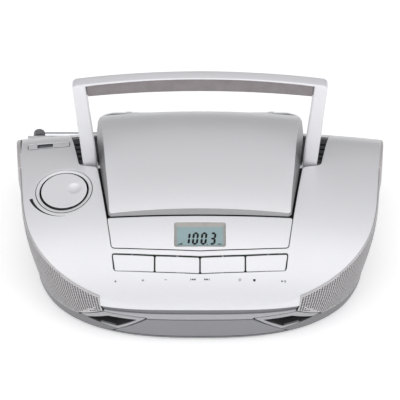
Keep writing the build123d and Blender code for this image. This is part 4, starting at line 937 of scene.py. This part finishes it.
trim_outline, belly_outline = whole_front(trim_right), whole_front(belly_right)
trim_abs = metallic_lacquer("soft_silver_lacquer_on_abs", "#a9a9ac", "#a3a3a6", metallic=0.3, roughness=0.45)
piece("front_trim_band", plate(within(trim_outline), (-96, 96, 28, 37), 0.8, wall_point, 0.5, 2.2),
      trim_abs, "cabinet", "silver_abs", ("front_trim",))
piece("belly_panel_shell", plate(within(belly_outline), (-80, 80, 4, 30), 1.1, wall_point, 0.6, 2.2),
      belly_lacquer_with_painted_shade, "cabinet", "grey_abs", ("belly_panel",))
frame_edge, mouth_edge = front_outline(port_frame_corners), soft_corners(front_outline(port_mouth), 0.5)
port = plate(lambda u, v: np.minimum(smooth_gap(u, v, frame_edge), -smooth_gap(u, v, mouth_edge)),
             (45, 125, 8, 35), 0.6, wall_point, 0.4, 2.2)


def duct_tube():
    """The mouth's outline carried back along Y from the frame, and again a twentieth wider to the front."""
    outline = soft_corners(port_mouth, 1.5)
    centre = outline.mean(0)
    wide = centre + (outline - centre) * 1.05
    u = np.array([round_from_front(x, z) for x, z in outline])
    _, mouth_y, _ = wall_point(u, outline[:, 1])
    duct_end = np.full(len(u), -80.5)
    loops = [(outline, mouth_y + 0.6), (outline, mouth_y * 0.6 + duct_end * 0.4), (outline, duct_end),
             (wide, duct_end), (wide, mouth_y + 2.0)]
    points = np.concatenate([np.stack([loop[:, 0], y, loop[:, 1]], 1) for loop, y in loops])
    n = len(outline)
    ring = np.arange(n)
    after = (ring + 1) % n
    quads = []
    for k in range(5):
        following = (k + 1) % 5 * n
        quads.append(np.stack([k * n + ring, k * n + after, following + after, following + ring], 1))
    return points, np.concatenate(quads), np.zeros((0, 3), int)


both_pieces("{}_port_frame", port, trim_abs, "cabinet", "silver_abs", "{}_port")
both_pieces("{}_port_duct", duct_tube(), duct_abs, "cabinet", "black_plastic", "{}_port", crease=60)


# Socket for a memory stick: a small silver frame flush in the cover with a metal socket behind its slot.
stick_run = run_at(stick_y)
# The stick frame's upright walls are painted shade, dark grey for the shadow in its seam.
piece("stick_frame",
      plate(lambda u, v: np.minimum(soft_box(u - stick_x, v - stick_run, 17.75, 3.75, 1.6),
                                    -soft_box(u - stick_x + 3.3, v - stick_run, 6.7, 3.0, 0.4)),
            (stick_x - 18.5, stick_x + 18.5, stick_run - 4.5, stick_run + 4.5), 0.45, cover_point, 0.3, 4.0),
      silver, "cabinet", "silver_abs", ("usb_frame",), painted_shade_on_sides=painted_seam_shade)


# Housing of the disc well: one black moulding that hangs under the cover, with the two ears of the lid's hinge at its
# rear edge. The ears show over the lid, so they are lacquered silver with the cover.
well_abs = moulded_abs("charcoal_well_abs", "#3d3d40", "#333336", roughness=0.42)
well_mesh = nodes["cd_housing"].data.copy()
welded = bmesh.new()
welded.from_mesh(well_mesh)
bmesh.ops.remove_doubles(welded, verts=welded.verts, dist=0.001 * mm)
welded.to_mesh(well_mesh)
welded.free()
well_mesh.materials.clear()
well_mesh.materials.append(well_abs)
well_mesh.materials.append(silver)
spots = np.empty(len(well_mesh.polygons) * 3)
well_mesh.polygons.foreach_get("center", spots)
spots = spots.reshape(-1, 3) / mm
ear = (spots[:, 1] > 82.5) & (spots[:, 2] > 86) & (np.abs(spots[:, 0]) < 75)
well_mesh.polygons.foreach_set("material_index", ear.astype(int))
well_mesh.set_sharp_from_angle(angle=math.radians(12))
well = bpy.data.objects.new("disc_well_moulding", well_mesh)
bpy.context.scene.collection.objects.link(well)
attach(well, "cabinet")
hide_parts("cd_housing")


# Corner block of the antenna: a small silver cover over the rear left corner that follows the cover's slope, with the
# swivel of the antenna behind it. It is moulded in ABS and screwed on from inside.
block_outline = [(75, 52), (96.5, 52), (96.5, 61.2), (95.6, 62.4), (81.2, 75.2), (79.5, 76.0), (75, 76.2)]
corner_block = plate(within(block_outline), (74, 98, 51, 78), 0.6, lambda u, v, w: (-131.0 + w, u, v), 0.5, 19.0)
piece("antenna_corner_block", corner_block, silver, "cabinet", "silver_abs", ("antenna_base",))


# Everything seen only at the back, underneath or with the lid open keeps its CAD shape. Each piece gets the finish
# of its own material: moulded cabinet halves, black well, acetal gears, drawn steel, chromed tube and rubber; the lower
# cabinet's lacquer is drawn darker as painted shade.
def metal(name, colour, dark, roughness, draw=(1.0, 1.0, 1.0), line_mm=0.6, bump_strength=0.05):
    """Bare or plated metal: fine lines along the way it was drawn or turned, which break the reflection."""
    lines = {"Scale": 1000 / line_mm, "Detail": 3.0}
    return surface(name, colour, dark, (roughness - 0.04, roughness + 0.06), lines, lines, lines,
                   bump_strength, 0.0002, 1.0, draw)


# Partly painted shade: the lower cabinet is silver-grey lacquer, drawn darker to stand in for the shadow it sits in
# under the grilles and ports.
base_lacquer_with_painted_shade = metallic_lacquer("silver_grey_lacquer_with_painted_shade", "#7d7d80", "#767679", metallic=0.25, roughness=0.5)
liner_abs = moulded_abs("light_grey_liner_abs", "#b9b9bc", "#adadb0", roughness=0.45)
black_abs = moulded_abs("black_abs", "#222224", "#19191b", roughness=0.4)
acetal = moulded_abs("white_acetal_gear", "#e2dfd6", "#d4d1c8", roughness=0.38, grain=0.03)
rubber = moulded_abs("black_moulded_rubber", "#1d1d1e", "#151516", roughness=0.85, grain=0.3, grain_mm=0.6)
cone_paper = moulded_abs("pressed_paper_cone", "#2c2b2a", "#201f1e", roughness=0.9, grain=0.5, grain_mm=1.1,
                         mottle_mm=3)
board = moulded_abs("green_lacquered_board", "#2f6b3c", "#27592f", roughness=0.35, mottle_mm=4)
drawn_steel = metal("drawn_steel_rod", "#b9bbbf", "#9fa1a6", 0.25, draw=(0.05, 1.0, 1.0))
pressed_steel = metal("zinc_plated_steel_pressing", "#c3c6c9", "#a9acb0", 0.38, line_mm=1.5)
chrome = metal("chromed_brass_tube", "#e0e1e4", "#d2d3d7", 0.12, draw=(0.04, 1.0, 1.0), bump_strength=0.02)
transformer_iron = metal("varnished_iron_core", "#6a625c", "#57504b", 0.5, draw=(0.1, 1.0, 1.0), line_mm=0.8)
finishes = {
    base_lacquer_with_painted_shade: ("lower_cabinet", "battery_door", "antenna_knuckle"),
    well_abs: ("pickup", "lid_catch"),
    liner_abs: ("lid_liner", "clamp_cover"),
    black_abs: ("mains_inlet", "audio_socket", "volume_control", "turntable", "disc_clamp"),
    acetal: ("sled_gear", "motor_pinion"),
    rubber: ("rubber_feet", "deck_dampers"),
    cone_paper: ("speaker_cones",),
    board: ("main_board", "key_board", "lcd_module"),
    drawn_steel: ("guide_rods", "key_rods", "lid_hinge_pins", "handle_pins", "cabinet_screws"),
    pressed_steel: ("deck_chassis", "spindle_motor", "sled_motor", "left_speaker", "right_speaker", "usb_socket",
                    "battery_contacts"),
    chrome: ("antenna_tube_1", "antenna_tube_2", "antenna_tube_3", "antenna_tube_4"),
    transformer_iron: ("transformer",),
}
for finish, names in finishes.items():
    for node_name in names:
        mesh = nodes[node_name].data
        mesh.materials.clear()
        mesh.materials.append(finish)
